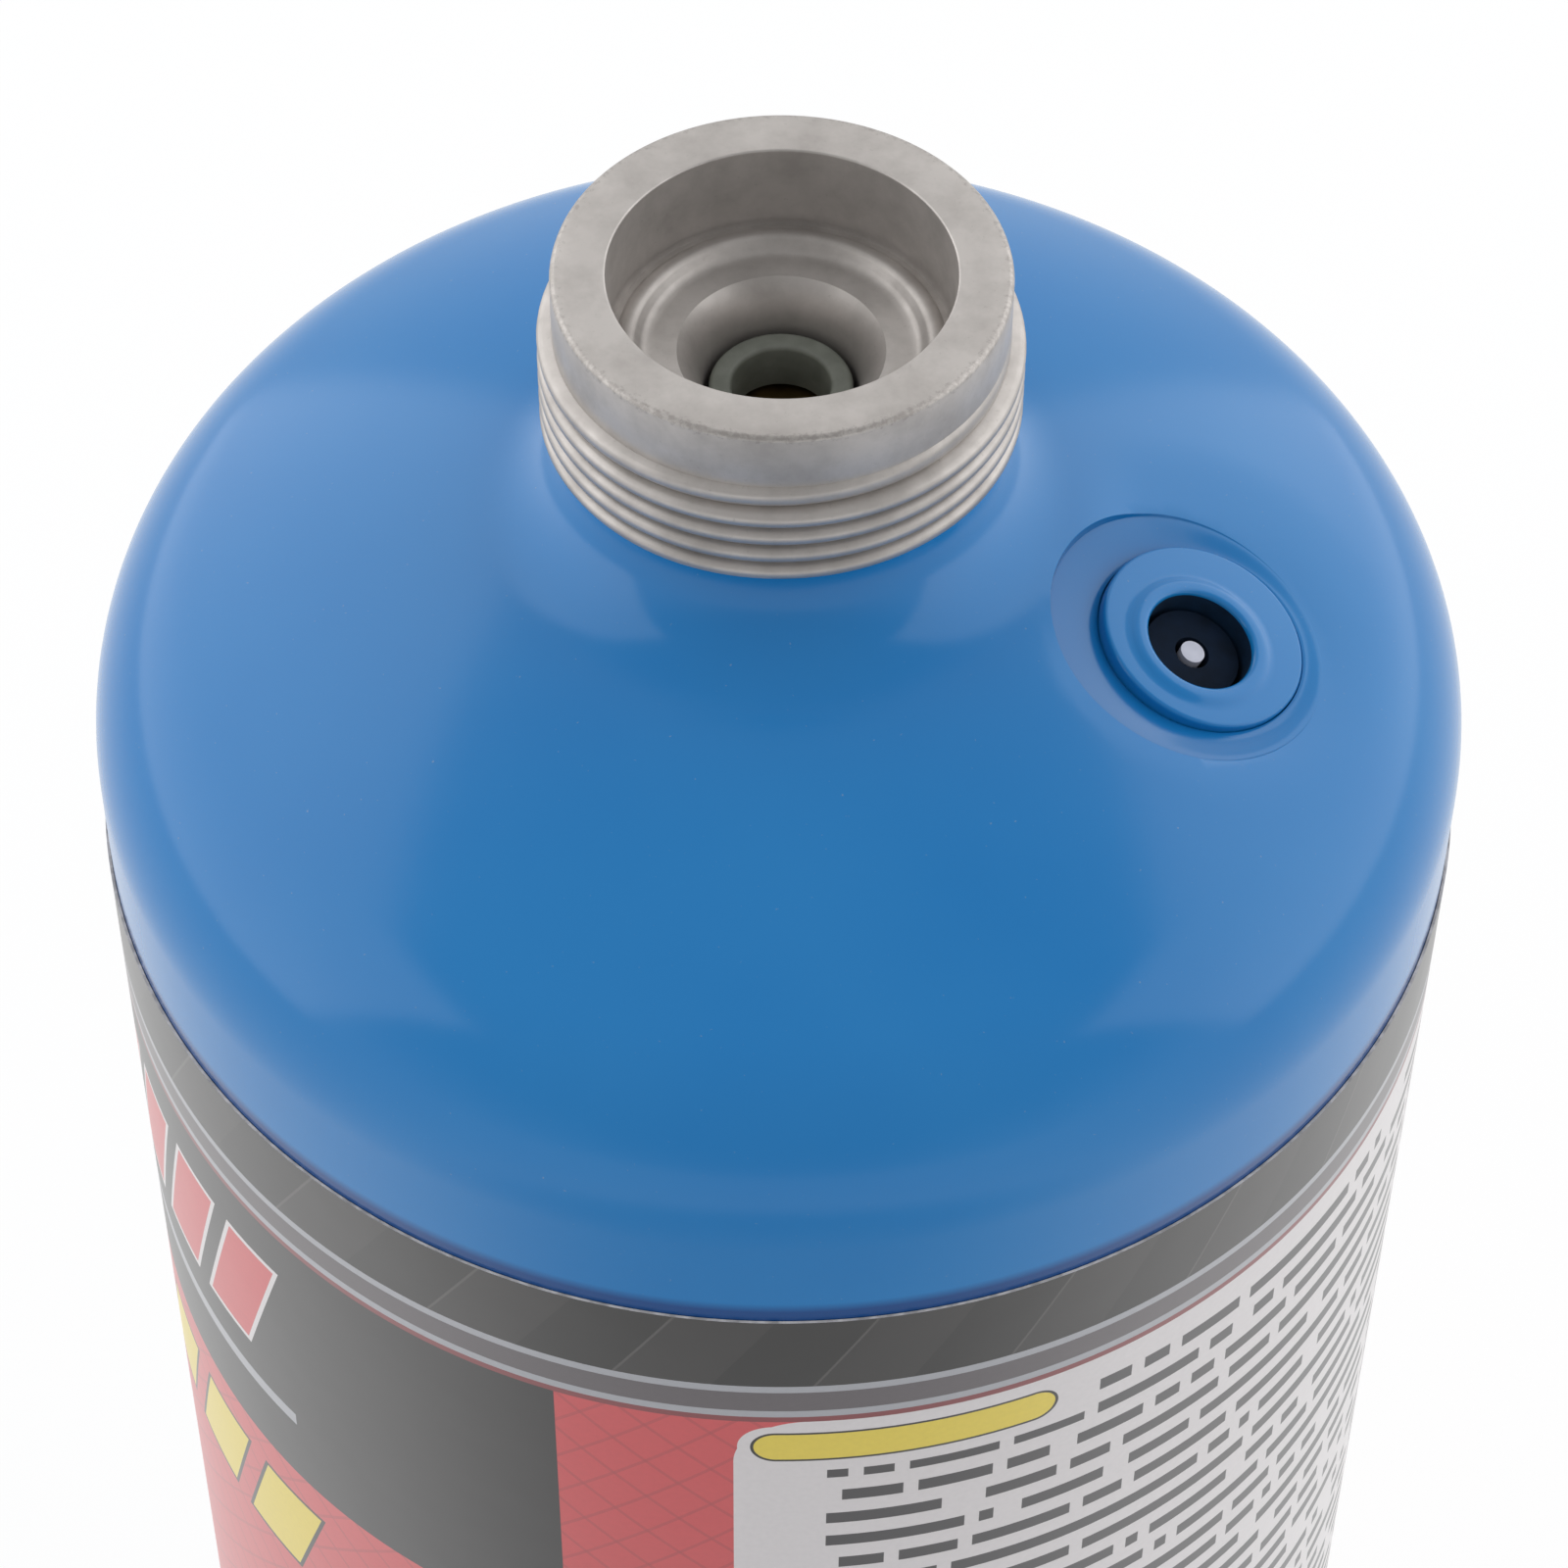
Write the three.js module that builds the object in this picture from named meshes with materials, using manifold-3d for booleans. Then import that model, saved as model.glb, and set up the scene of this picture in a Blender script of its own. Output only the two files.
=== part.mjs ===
// Disposable fuel canister: a sealed steel can in a printed paper label, a threaded valve on its dome
// and a pressure relief valve beside it. Millimetres, +Z up. The origin is the centre of the standing
// ring, and the front of the label faces -Y.
import * as THREE from 'three';
import { mergeVertices } from 'three/addons/utils/BufferGeometryUtils.js';
import Module from 'manifold-3d';

const wasm = await Module();
wasm.setup();

// Fits
const RUNNING_GAP = 0.3;
const LABEL_GAP = 0.1;

// Can: straight side, rolled shoulder, spherical crown, drawn neck and dished base
const CAN_RADIUS = 38.1;
const SHOULDER_Z = 218;
const KNUCKLE_RADIUS = 11;
const CROWN_RADIUS = 70;
const BASE_CORNER_RADIUS = 3;
const FOOT_WIDTH = 2.1;
const FOOT_HEIGHT = 6;
const DISH_RISE = 9;
const NECK_HEIGHT = 5.1;
const NECK_WALL = 1.5;
const NECK_FILLET = 6;
const NECK_CHAMFER = 0.4;

// Label: a paper wrap glued round the straight side, with its end lapped at the back
const LABEL_THICKNESS = 0.25;
const LABEL_TOP_MARGIN = 5.4;
const LABEL_BOTTOM_Z = 9;
const LABEL_LAP_ANGLE = 135;
const LABEL_LAP_WIDTH = 9;

// Valve bushing: male thread under a plain lead-in, cup with a rolled bead, and a throat
const THREAD_RADIUS = 12.7;
const THREAD_DEPTH = 0.8;
const THREAD_PITCH = 1.27;
const THREAD_TURNS = 5;
const THREAD_RUN_IN_TURNS = 0.5;
const THREAD_GROOVE = 0.12;
const THREAD_CREST = 0.5;
const THREAD_SHOULDER = 2.7;
const LEAD_IN = 3.15;
const RIM_WIDTH = 2.87;
const RIM_CHAMFER = 0.25;
const CUP_DEPTH = 5.2;
const BEAD_RADIUS = 0.5;
const BEAD_RISE = 0.7;
const BEAD_MARGIN = 0.43;
const FLOOR_DISH = 0.5;
const LIP_RADIUS = 1.4;
const THROAT_RADIUS = 4.1;
const SHANK_LENGTH = 19.5;
const BUSHING_FLOOR = 1.5;
const INLET_RADIUS = 2.4;

// Valve core: seat seal, housing, sprung pin and its poppet
const SEAL_DEPTH = 8.1;
const SEAL_THICKNESS = 2.7;
const SEAL_HOLE_RADIUS = 2.6;
const HOUSING_WALL = 0.9;
const HOUSING_ROOF = 2;
const PIN_RADIUS = 1.3;
const PIN_TIP_DEPTH = 10.5;
const PIN_TIP_ROUND = 0.5;
const STEM_RADIUS = 0.9;
const STEM_LENGTH = 6.5;
const POPPET_THICKNESS = 2;
const FLANGE_THICKNESS = 1.2;
const RETAINER_THICKNESS = 1.5;
const RETAINER_HOLE_RADIUS = 1.2;
const CORE_WIRE_RADIUS = 0.3;
const CORE_SPRING_TURNS = 4.5;

// Relief valve: a bushing in a drawn recess of the crown, square to the crown's surface
const RELIEF_SIDE_MARGIN = 14.2;
const RELIEF_AZIMUTH = -17.9;
const RELIEF_RADIUS = 5.75;
const RELIEF_EDGE_ROUND = 0.35;
const RELIEF_DROP = 0.84;
const RELIEF_LIP_RADIUS = 4.4;
const RELIEF_LIP_WIDTH = 0.5;
const RELIEF_LIP_HEIGHT = 0.34;
const RELIEF_BORE_RADIUS = 3;
const RELIEF_BORE_DEPTH = 11;
const RELIEF_FLOOR = 4;
const RELIEF_ORIFICE_RADIUS = 1;
const MOAT_MARGIN = 1.7;
const MOAT_DEPTH = 2.1;
const MOAT_WALL_WIDTH = 0.45;
const MOAT_WALL_DEPTH = 0.8;
const DIMPLE_SHIFT = 1.3;
const DIMPLE_RADIUS = 9.6;
const DIMPLE_DEPTH = 1.2;
const GLAND_DEPTH = 1.3;
const GLAND_THICKNESS = 1.2;
const RELIEF_STEM_RADIUS = 0.68;
const RELIEF_TIP_DEPTH = 1.2;
const RELIEF_FLANGE_THICKNESS = 0.8;
const RELIEF_SEAL_THICKNESS = 1.1;
const RELIEF_WIRE_RADIUS = 0.25;
const RELIEF_SPRING_TURNS = 4;

// Facets
const ROUND_SEGMENTS = 64;
const SMALL_SEGMENTS = 32;
const THREAD_SEGMENTS = 20;
const WIRE_SIDES = 6;
const WIRE_STEPS_PER_TURN = 12;
const DIMPLE_RINGS = 3;
const WELD_TOLERANCE = 1e-4;

// Levels and radii that follow from the sizes above
const crownCentreZ = SHOULDER_Z - Math.sqrt((CROWN_RADIUS - KNUCKLE_RADIUS) ** 2
  - (CAN_RADIUS - KNUCKLE_RADIUS) ** 2);
const neckTopZ = crownCentreZ + CROWN_RADIUS + NECK_HEIGHT;
const bushingShoulderZ = neckTopZ + RUNNING_GAP;
const threadLength = THREAD_PITCH * THREAD_TURNS;
const bushingTopZ = bushingShoulderZ + threadLength + LEAD_IN;
const coreRadius = THREAD_RADIUS - THREAD_DEPTH;
const shankRadius = coreRadius - THREAD_SHOULDER;
const shankEndZ = bushingShoulderZ - SHANK_LENGTH;
const cupRadius = coreRadius - RIM_WIDTH;
const cupFloorZ = bushingTopZ - CUP_DEPTH;
const neckPocketRadius = shankRadius + RUNNING_GAP;
const neckRadius = neckPocketRadius + NECK_WALL;
const housingFloorZ = shankEndZ + BUSHING_FLOOR;
const housingRadius = THROAT_RADIUS - RUNNING_GAP;
const sealTopZ = bushingTopZ - SEAL_DEPTH;
const housingTopZ = sealTopZ - SEAL_THICKNESS - RUNNING_GAP;
const chamberRadius = housingRadius - HOUSING_WALL;
const chamberTopZ = housingTopZ - HOUSING_ROOF;
const plungerRadius = chamberRadius - RUNNING_GAP;
const poppetTopZ = chamberTopZ - RUNNING_GAP;
const flangeTopZ = poppetTopZ - POPPET_THICKNESS;
const flangeBottomZ = flangeTopZ - FLANGE_THICKNESS;
const retainerTopZ = housingFloorZ + RETAINER_THICKNESS;
const footRadius = CAN_RADIUS - BASE_CORNER_RADIUS;
const reliefOffset = CAN_RADIUS - RELIEF_SIDE_MARGIN;

// Joins the equal corners of a geometry and drops the triangles that this leaves without an area
function weld(geometry) {
  const bare = geometry.clone();
  bare.deleteAttribute('normal');
  bare.deleteAttribute('uv');
  const merged = mergeVertices(bare, WELD_TOLERANCE);
  const corners = merged.index.array;
  const kept = [];
  for (let i = 0; i < corners.length; i += 3) {
    const [a, b, c] = corners.slice(i, i + 3);
    if (a !== b && b !== c && c !== a) kept.push(a, b, c);
  }
  merged.setIndex(kept);
  return merged;
}

// Turns an outline of [radius, z] points about the Z axis. Outer walls run upwards in the outline.
function revolve(outline, segments) {
  const points = outline.map(([radius, z]) => new THREE.Vector2(Math.max(radius, 0), z));
  return weld(new THREE.LatheGeometry(points, segments).rotateX(Math.PI / 2));
}

// Turns a closed outline that stays off the axis
function revolveRing(outline, segments) {
  return revolve([...outline, outline[0]], segments);
}

function solidFrom(geometry) {
  return new wasm.Manifold(new wasm.Mesh({
    numProp: 3,
    vertProperties: new Float32Array(geometry.attributes.position.array),
    triVerts: new Uint32Array(geometry.index.array),
  }));
}

function geometryFrom(solid) {
  const mesh = solid.getMesh();
  const geometry = new THREE.BufferGeometry();
  geometry.setAttribute('position', new THREE.BufferAttribute(new Float32Array(mesh.vertProperties), 3));
  geometry.setIndex(new THREE.BufferAttribute(new Uint32Array(mesh.triVerts), 1));
  return geometry;
}

// Points [radius, z] along an arc, ends included, angles in degrees from the radial direction
function arc(centreR, centreZ, radius, startAngle, endAngle, steps) {
  return Array.from({ length: steps + 1 }, (_, i) => {
    const angle = THREE.MathUtils.degToRad(THREE.MathUtils.lerp(startAngle, endAngle, i / steps));
    return [centreR + radius * Math.cos(angle), centreZ + radius * Math.sin(angle)];
  });
}

function part(name, geometry, material) {
  geometry.computeVertexNormals();
  const mesh = new THREE.Mesh(geometry, material);
  mesh.name = name;
  return mesh;
}

// Materials
const bluePaint = () => new THREE.MeshStandardMaterial({ color: 0x2f79b8, roughness: 0.35, metalness: 0 });
const printedPaper = () => new THREE.MeshStandardMaterial({ color: 0x4b4848, roughness: 0.6, metalness: 0 });
const platedSteel = () => new THREE.MeshStandardMaterial({ color: 0xa8a4a0, roughness: 0.4, metalness: 0.9 });
const springSteel = () => new THREE.MeshStandardMaterial({ color: 0x8e9094, roughness: 0.3, metalness: 1 });
const brass = () => new THREE.MeshStandardMaterial({ color: 0xb08d50, roughness: 0.35, metalness: 1 });
const sealRubber = () => new THREE.MeshStandardMaterial({ color: 0x7a7c73, roughness: 0.8, metalness: 0 });
const blackRubber = () => new THREE.MeshStandardMaterial({ color: 0x1c1d1f, roughness: 0.8, metalness: 0 });
const palePlastic = () => new THREE.MeshStandardMaterial({ color: 0xc4c6d2, roughness: 0.5, metalness: 0 });
const darkPlastic = () => new THREE.MeshStandardMaterial({ color: 0x16202c, roughness: 0.6, metalness: 0 });

// Can outline, from the middle of the dished base round the outside to the floor of the neck pocket
function canOutline() {
  const dishEdge = footRadius - FOOT_WIDTH;
  const dishRadius = (dishEdge ** 2 + DISH_RISE ** 2) / (2 * DISH_RISE);
  const dishAngle = THREE.MathUtils.radToDeg(Math.asin(dishEdge / dishRadius));
  const knuckleR = CAN_RADIUS - KNUCKLE_RADIUS;
  const knuckleAngle = THREE.MathUtils.radToDeg(Math.atan2(SHOULDER_Z - crownCentreZ, knuckleR));
  const filletR = neckRadius + NECK_FILLET;
  const filletZ = crownCentreZ + Math.sqrt((CROWN_RADIUS + NECK_FILLET) ** 2 - filletR ** 2);
  const filletAngle = THREE.MathUtils.radToDeg(Math.atan2(filletZ - crownCentreZ, filletR));
  return [
    ...arc(0, FOOT_HEIGHT + DISH_RISE - dishRadius, dishRadius, 90, 90 - dishAngle, 4),
    [dishEdge, 0],
    ...arc(footRadius, BASE_CORNER_RADIUS, BASE_CORNER_RADIUS, -90, 0, 4),
    ...arc(knuckleR, SHOULDER_Z, KNUCKLE_RADIUS, 0, knuckleAngle, 7),
    ...arc(0, crownCentreZ, CROWN_RADIUS, knuckleAngle, filletAngle, 6).slice(1),
    ...arc(filletR, filletZ, NECK_FILLET, 180 + filletAngle, 180, 4).slice(1),
    [neckRadius, neckTopZ - NECK_CHAMFER],
    [neckRadius - NECK_CHAMFER, neckTopZ],
    [neckPocketRadius, neckTopZ],
    [neckPocketRadius, shankEndZ - RUNNING_GAP],
    [0, shankEndZ - RUNNING_GAP],
  ];
}

// Pose on the crown's sphere, square to it, on the relief valve's side of the can
function crownGroup(offset) {
  const group = new THREE.Group();
  const azimuth = THREE.MathUtils.degToRad(RELIEF_AZIMUTH);
  const surfaceZ = crownCentreZ + Math.sqrt(CROWN_RADIUS ** 2 - offset ** 2);
  group.position.set(offset * Math.cos(azimuth), offset * Math.sin(azimuth), surfaceZ);
  group.rotation.set(0, Math.asin(offset / CROWN_RADIUS), azimuth, 'ZYX');
  group.updateMatrix();
  return group;
}

// Depth of the crown's surface below its tangent plane, at a radius from the point of touch
function crownDrop(radius) {
  return CROWN_RADIUS - Math.sqrt(CROWN_RADIUS ** 2 - radius ** 2);
}

// Tool for the moat round the relief bushing, steep at its rim, and for the bushing's pocket
function moatTool() {
  const pocketRadius = RELIEF_RADIUS + RUNNING_GAP;
  const pocketZ = -(RELIEF_DROP + RELIEF_BORE_DEPTH + RELIEF_FLOOR + RUNNING_GAP);
  const rimRadius = pocketRadius + MOAT_MARGIN;
  const rimZ = -crownDrop(rimRadius);
  return revolve([
    [0, pocketZ],
    [pocketRadius, pocketZ],
    [pocketRadius, -MOAT_DEPTH],
    [rimRadius - MOAT_WALL_WIDTH, rimZ - MOAT_WALL_DEPTH],
    [rimRadius, rimZ],
    [rimRadius, MOAT_DEPTH],
    [0, MOAT_DEPTH],
  ], SMALL_SEGMENTS);
}

// Tool for the shallow dimple that softens the outer side of the moat and fades before the neck
function dimpleTool() {
  const floor = Array.from({ length: DIMPLE_RINGS + 1 }, (_, i) => {
    const share = i / DIMPLE_RINGS;
    const radius = share * DIMPLE_RADIUS;
    return [radius, -crownDrop(radius) - DIMPLE_DEPTH * (1 - share ** 2) ** 2];
  });
  return revolve([...floor, [DIMPLE_RADIUS, DIMPLE_DEPTH], [0, DIMPLE_DEPTH]], SMALL_SEGMENTS);
}

// One solid: the sealed can, with the pockets of its two valves
function canBody() {
  const can = solidFrom(revolve(canOutline(), ROUND_SEGMENTS));
  const moat = solidFrom(moatTool().applyMatrix4(crownGroup(reliefOffset).matrix));
  const dimple = solidFrom(dimpleTool().applyMatrix4(crownGroup(reliefOffset + DIMPLE_SHIFT).matrix));
  return part('can_body', geometryFrom(can.subtract(moat).subtract(dimple)), bluePaint());
}

// Paper wrap: one turn of paper whose outer end lies over the inner one
function labelSleeve() {
  const innerRadius = CAN_RADIUS + LABEL_GAP;
  const lapHalf = THREE.MathUtils.radToDeg(LABEL_LAP_WIDTH / innerRadius) / 2;
  const step = 360 / ROUND_SEGMENTS;
  const point = (radius, angle) => {
    const turn = THREE.MathUtils.degToRad(angle);
    return new THREE.Vector2(radius * Math.cos(turn), radius * Math.sin(turn));
  };
  const outline = [];
  for (let i = 0; i < ROUND_SEGMENTS; i += 1) {
    const angle = LABEL_LAP_ANGLE + (i + 0.5) * step;
    if (Math.abs(angle - LABEL_LAP_ANGLE) > lapHalf && Math.abs(angle - LABEL_LAP_ANGLE - 360) > lapHalf) {
      outline.push(point(innerRadius + LABEL_THICKNESS, angle));
    }
  }
  const lapStart = LABEL_LAP_ANGLE - lapHalf;
  const lapEnd = LABEL_LAP_ANGLE + lapHalf;
  outline.push(point(innerRadius + LABEL_THICKNESS, lapStart));
  outline.push(point(innerRadius + 2 * LABEL_THICKNESS, lapStart));
  outline.push(point(innerRadius + 2 * LABEL_THICKNESS, LABEL_LAP_ANGLE));
  outline.push(point(innerRadius + 2 * LABEL_THICKNESS, lapEnd));
  outline.push(point(innerRadius + LABEL_THICKNESS, lapEnd));
  const shape = new THREE.Shape(outline);
  const hole = Array.from({ length: ROUND_SEGMENTS }, (_, i) => point(innerRadius, i * step));
  shape.holes.push(new THREE.Path(hole));
  const height = SHOULDER_Z - LABEL_TOP_MARGIN - LABEL_BOTTOM_Z;
  const sleeve = weld(new THREE.ExtrudeGeometry(shape, { depth: height, bevelEnabled: false }));
  const label = part('label_sleeve', sleeve, printedPaper());
  label.position.z = LABEL_BOTTOM_Z;
  return label;
}

// Male thread: its section is extruded along a straight bar, which is wound down round the core from
// its shallow start to past the shoulder, where the end face cuts it off
function threadRidge() {
  const rootReach = 2 * THREAD_GROOVE;
  const halfRoot = (THREAD_PITCH - THREAD_GROOVE) / 2;
  const halfCrest = THREAD_CREST / 2;
  const section = new THREE.Shape([
    new THREE.Vector2(-rootReach, -halfRoot),
    new THREE.Vector2(THREAD_DEPTH, -halfCrest),
    new THREE.Vector2(THREAD_DEPTH, halfCrest),
    new THREE.Vector2(-rootReach, halfRoot),
  ]);
  const steps = Math.round(THREAD_TURNS * THREAD_SEGMENTS);
  const bar = new THREE.ExtrudeGeometry(section, { depth: 1, steps, bevelEnabled: false });
  const corners = bar.attributes.position;
  for (let i = 0; i < corners.count; i += 1) {
    const travel = corners.getZ(i);
    const turn = -travel * THREAD_TURNS * 2 * Math.PI;
    const runIn = Math.min(1, travel * THREAD_TURNS / THREAD_RUN_IN_TURNS);
    const height = Math.max(corners.getX(i), 0) * runIn + Math.min(corners.getX(i), 0);
    const radius = coreRadius + height;
    const z = corners.getY(i) - travel * threadLength;
    corners.setXYZ(i, radius * Math.cos(turn), radius * Math.sin(turn), z);
  }
  const ridge = solidFrom(weld(bar).translate(0, 0, bushingShoulderZ + threadLength - halfRoot));
  return ridge.trimByPlane([0, 0, 1], bushingShoulderZ);
}

// Outline of the bushing, up its outside and down through the cup, the bead and the throat
function bushingOutline() {
  const beadR = cupRadius - BEAD_MARGIN - BEAD_RADIUS;
  const beadZ = cupFloorZ + BEAD_RISE - BEAD_RADIUS;
  const lipR = THROAT_RADIUS + LIP_RADIUS;
  const lipZ = cupFloorZ - FLOOR_DISH - LIP_RADIUS;
  return [
    [shankRadius, shankEndZ],
    [shankRadius, bushingShoulderZ],
    [coreRadius, bushingShoulderZ],
    [coreRadius, bushingTopZ - RIM_CHAMFER],
    [coreRadius - RIM_CHAMFER, bushingTopZ],
    [cupRadius, bushingTopZ],
    [cupRadius, cupFloorZ],
    ...arc(beadR, beadZ, BEAD_RADIUS, 0, 180, 5),
    [beadR - BEAD_RADIUS, cupFloorZ],
    ...arc(lipR, lipZ, LIP_RADIUS, 90, 180, 4),
    [THROAT_RADIUS, housingFloorZ],
    [INLET_RADIUS, housingFloorZ],
    [INLET_RADIUS, shankEndZ],
  ];
}

function valveBushing() {
  const turned = solidFrom(revolveRing(bushingOutline(), ROUND_SEGMENTS));
  return part('valve_bushing', geometryFrom(turned.add(threadRidge())), platedSteel());
}

function seatSeal() {
  const bottomZ = sealTopZ - SEAL_THICKNESS;
  return part('seat_seal', revolveRing([
    [SEAL_HOLE_RADIUS, bottomZ],
    [housingRadius, bottomZ],
    [housingRadius, sealTopZ],
    [SEAL_HOLE_RADIUS, sealTopZ],
  ], SMALL_SEGMENTS), sealRubber());
}

// Tube with a roof: the roof's hole guides the pin and its underside seats the poppet
function coreHousing() {
  const holeRadius = PIN_RADIUS + RUNNING_GAP;
  return part('core_housing', revolveRing([
    [chamberRadius, housingFloorZ],
    [housingRadius, housingFloorZ],
    [housingRadius, housingTopZ],
    [holeRadius, housingTopZ],
    [holeRadius, chamberTopZ],
    [chamberRadius, chamberTopZ],
  ], SMALL_SEGMENTS), brass());
}

// Pin that a fitting presses down: rounded tip, flange under the poppet and a tail inside the spring
function valvePin() {
  const tipZ = bushingTopZ - PIN_TIP_DEPTH;
  return part('valve_pin', revolve([
    [0, flangeBottomZ - STEM_LENGTH],
    [STEM_RADIUS, flangeBottomZ - STEM_LENGTH],
    [STEM_RADIUS, flangeBottomZ],
    [plungerRadius, flangeBottomZ],
    [plungerRadius, flangeTopZ - RUNNING_GAP],
    [STEM_RADIUS, flangeTopZ - RUNNING_GAP],
    [STEM_RADIUS, poppetTopZ],
    [PIN_RADIUS, chamberTopZ],
    [PIN_RADIUS, tipZ - PIN_TIP_ROUND],
    ...arc(PIN_RADIUS - PIN_TIP_ROUND, tipZ - PIN_TIP_ROUND, PIN_TIP_ROUND, 0, 90, 3),
    [0, tipZ],
  ], SMALL_SEGMENTS), brass());
}

function poppetSeal() {
  const holeRadius = STEM_RADIUS + RUNNING_GAP;
  return part('poppet_seal', revolveRing([
    [holeRadius, flangeTopZ],
    [plungerRadius, flangeTopZ],
    [plungerRadius, poppetTopZ],
    [holeRadius, poppetTopZ],
  ], SMALL_SEGMENTS), blackRubber());
}

function springRetainer() {
  return part('spring_retainer', revolveRing([
    [RETAINER_HOLE_RADIUS, housingFloorZ],
    [plungerRadius, housingFloorZ],
    [plungerRadius, retainerTopZ],
    [RETAINER_HOLE_RADIUS, retainerTopZ],
  ], SMALL_SEGMENTS), brass());
}

// Centre line of a compression spring about Z
class Coil extends THREE.Curve {
  constructor(radius, turns, startZ, endZ) {
    super();
    Object.assign(this, { radius, turns, startZ, endZ });
  }

  getPoint(t, target = new THREE.Vector3()) {
    const turn = t * this.turns * 2 * Math.PI;
    const z = THREE.MathUtils.lerp(this.startZ, this.endZ, t);
    return target.set(this.radius * Math.cos(turn), this.radius * Math.sin(turn), z);
  }
}

// Compression spring between two seats, clear of both and of the wall round it
function spring(name, wallRadius, wireRadius, turns, seatZ, topZ) {
  const lift = RUNNING_GAP + wireRadius;
  const coil = new Coil(wallRadius - lift, turns, seatZ + lift, topZ - lift);
  const wire = new THREE.Shape();
  wire.absarc(0, 0, wireRadius, 0, 2 * Math.PI);
  const geometry = new THREE.ExtrudeGeometry(wire, {
    steps: Math.round(turns * WIRE_STEPS_PER_TURN),
    curveSegments: WIRE_SIDES / 2,
    bevelEnabled: false,
    extrudePath: coil,
  });
  return part(name, weld(geometry), springSteel());
}

// Relief valve, in its own frame: z = 0 lies on the crown's sphere and +z points out of the can
function reliefValve() {
  const topZ = -RELIEF_DROP;
  const edgeZ = topZ - RELIEF_LIP_HEIGHT;
  const boreFloorZ = topZ - RELIEF_BORE_DEPTH;
  const bottomZ = boreFloorZ - RELIEF_FLOOR;
  const pistonRadius = RELIEF_BORE_RADIUS - RUNNING_GAP;
  const glandTopZ = topZ - GLAND_DEPTH;
  const glandBottomZ = glandTopZ - GLAND_THICKNESS;
  const glandHoleRadius = RELIEF_STEM_RADIUS + RUNNING_GAP;
  const sealBottomZ = boreFloorZ + RUNNING_GAP;
  const sealTop = sealBottomZ + RELIEF_SEAL_THICKNESS;
  const pistonBottomZ = sealTop + RUNNING_GAP;
  const pistonTopZ = pistonBottomZ + RELIEF_FLANGE_THICKNESS;
  const tipZ = topZ - RELIEF_TIP_DEPTH;
  const group = crownGroup(reliefOffset);
  group.name = 'relief_valve';
  group.add(part('relief_bushing', revolveRing([
    [RELIEF_ORIFICE_RADIUS, bottomZ],
    [RELIEF_RADIUS, bottomZ],
    ...arc(RELIEF_RADIUS - RELIEF_EDGE_ROUND, edgeZ - RELIEF_EDGE_ROUND, RELIEF_EDGE_ROUND, 0, 90, 4),
    [RELIEF_LIP_RADIUS, edgeZ],
    [RELIEF_LIP_RADIUS - RELIEF_LIP_WIDTH, topZ],
    [RELIEF_BORE_RADIUS, topZ],
    [RELIEF_BORE_RADIUS, boreFloorZ],
    [RELIEF_ORIFICE_RADIUS, boreFloorZ],
  ], SMALL_SEGMENTS), bluePaint()));
  group.add(part('relief_retainer', revolveRing([
    [glandHoleRadius, glandBottomZ],
    [pistonRadius, glandBottomZ],
    [pistonRadius, glandTopZ],
    [glandHoleRadius, glandTopZ],
  ], SMALL_SEGMENTS), darkPlastic()));
  group.add(part('relief_stem', revolve([
    [0, pistonBottomZ],
    [pistonRadius, pistonBottomZ],
    [pistonRadius, pistonTopZ],
    [RELIEF_STEM_RADIUS, pistonTopZ],
    [RELIEF_STEM_RADIUS, tipZ],
    [0, tipZ],
  ], SMALL_SEGMENTS), palePlastic()));
  group.add(part('relief_seal', revolve([
    [0, sealBottomZ],
    [pistonRadius, sealBottomZ],
    [pistonRadius, sealTop],
    [0, sealTop],
  ], SMALL_SEGMENTS), blackRubber()));
  group.add(spring('relief_spring', RELIEF_BORE_RADIUS, RELIEF_WIRE_RADIUS, RELIEF_SPRING_TURNS,
    pistonTopZ, glandBottomZ));
  return group;
}

const canister = new THREE.Group();
canister.name = 'fuel_canister';
canister.add(canBody());
canister.add(labelSleeve());
canister.add(valveBushing());
canister.add(seatSeal());
canister.add(coreHousing());
canister.add(valvePin());
canister.add(poppetSeal());
canister.add(springRetainer());
canister.add(spring('core_spring', chamberRadius, CORE_WIRE_RADIUS, CORE_SPRING_TURNS,
  retainerTopZ, flangeBottomZ));
canister.add(reliefValve());

export default canister;
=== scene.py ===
"""Fine meshes, finishes, studio and camera for a disposable fuel canister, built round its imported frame."""
import logging
import math
from dataclasses import dataclass
from enum import Enum
from typing import Iterable

import bmesh
import bpy
from bmesh.types import BMEdge, BMesh, BMVert
from bpy.types import Material, Node, NodeSocket
from mathutils import Matrix, Vector


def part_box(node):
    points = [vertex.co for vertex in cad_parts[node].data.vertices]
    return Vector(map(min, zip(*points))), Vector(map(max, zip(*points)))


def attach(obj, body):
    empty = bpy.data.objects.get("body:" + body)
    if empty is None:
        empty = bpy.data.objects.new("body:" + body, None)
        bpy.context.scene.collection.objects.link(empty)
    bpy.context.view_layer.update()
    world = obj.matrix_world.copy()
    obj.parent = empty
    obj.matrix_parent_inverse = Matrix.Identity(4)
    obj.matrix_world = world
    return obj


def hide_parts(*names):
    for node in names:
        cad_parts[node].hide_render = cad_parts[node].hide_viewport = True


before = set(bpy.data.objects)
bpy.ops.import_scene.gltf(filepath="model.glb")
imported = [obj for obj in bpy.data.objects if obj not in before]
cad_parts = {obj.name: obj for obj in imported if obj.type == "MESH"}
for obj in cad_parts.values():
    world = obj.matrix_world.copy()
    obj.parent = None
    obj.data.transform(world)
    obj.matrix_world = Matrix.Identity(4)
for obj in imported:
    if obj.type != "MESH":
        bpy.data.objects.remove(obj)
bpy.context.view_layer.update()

log = logging.getLogger("canister")

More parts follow.
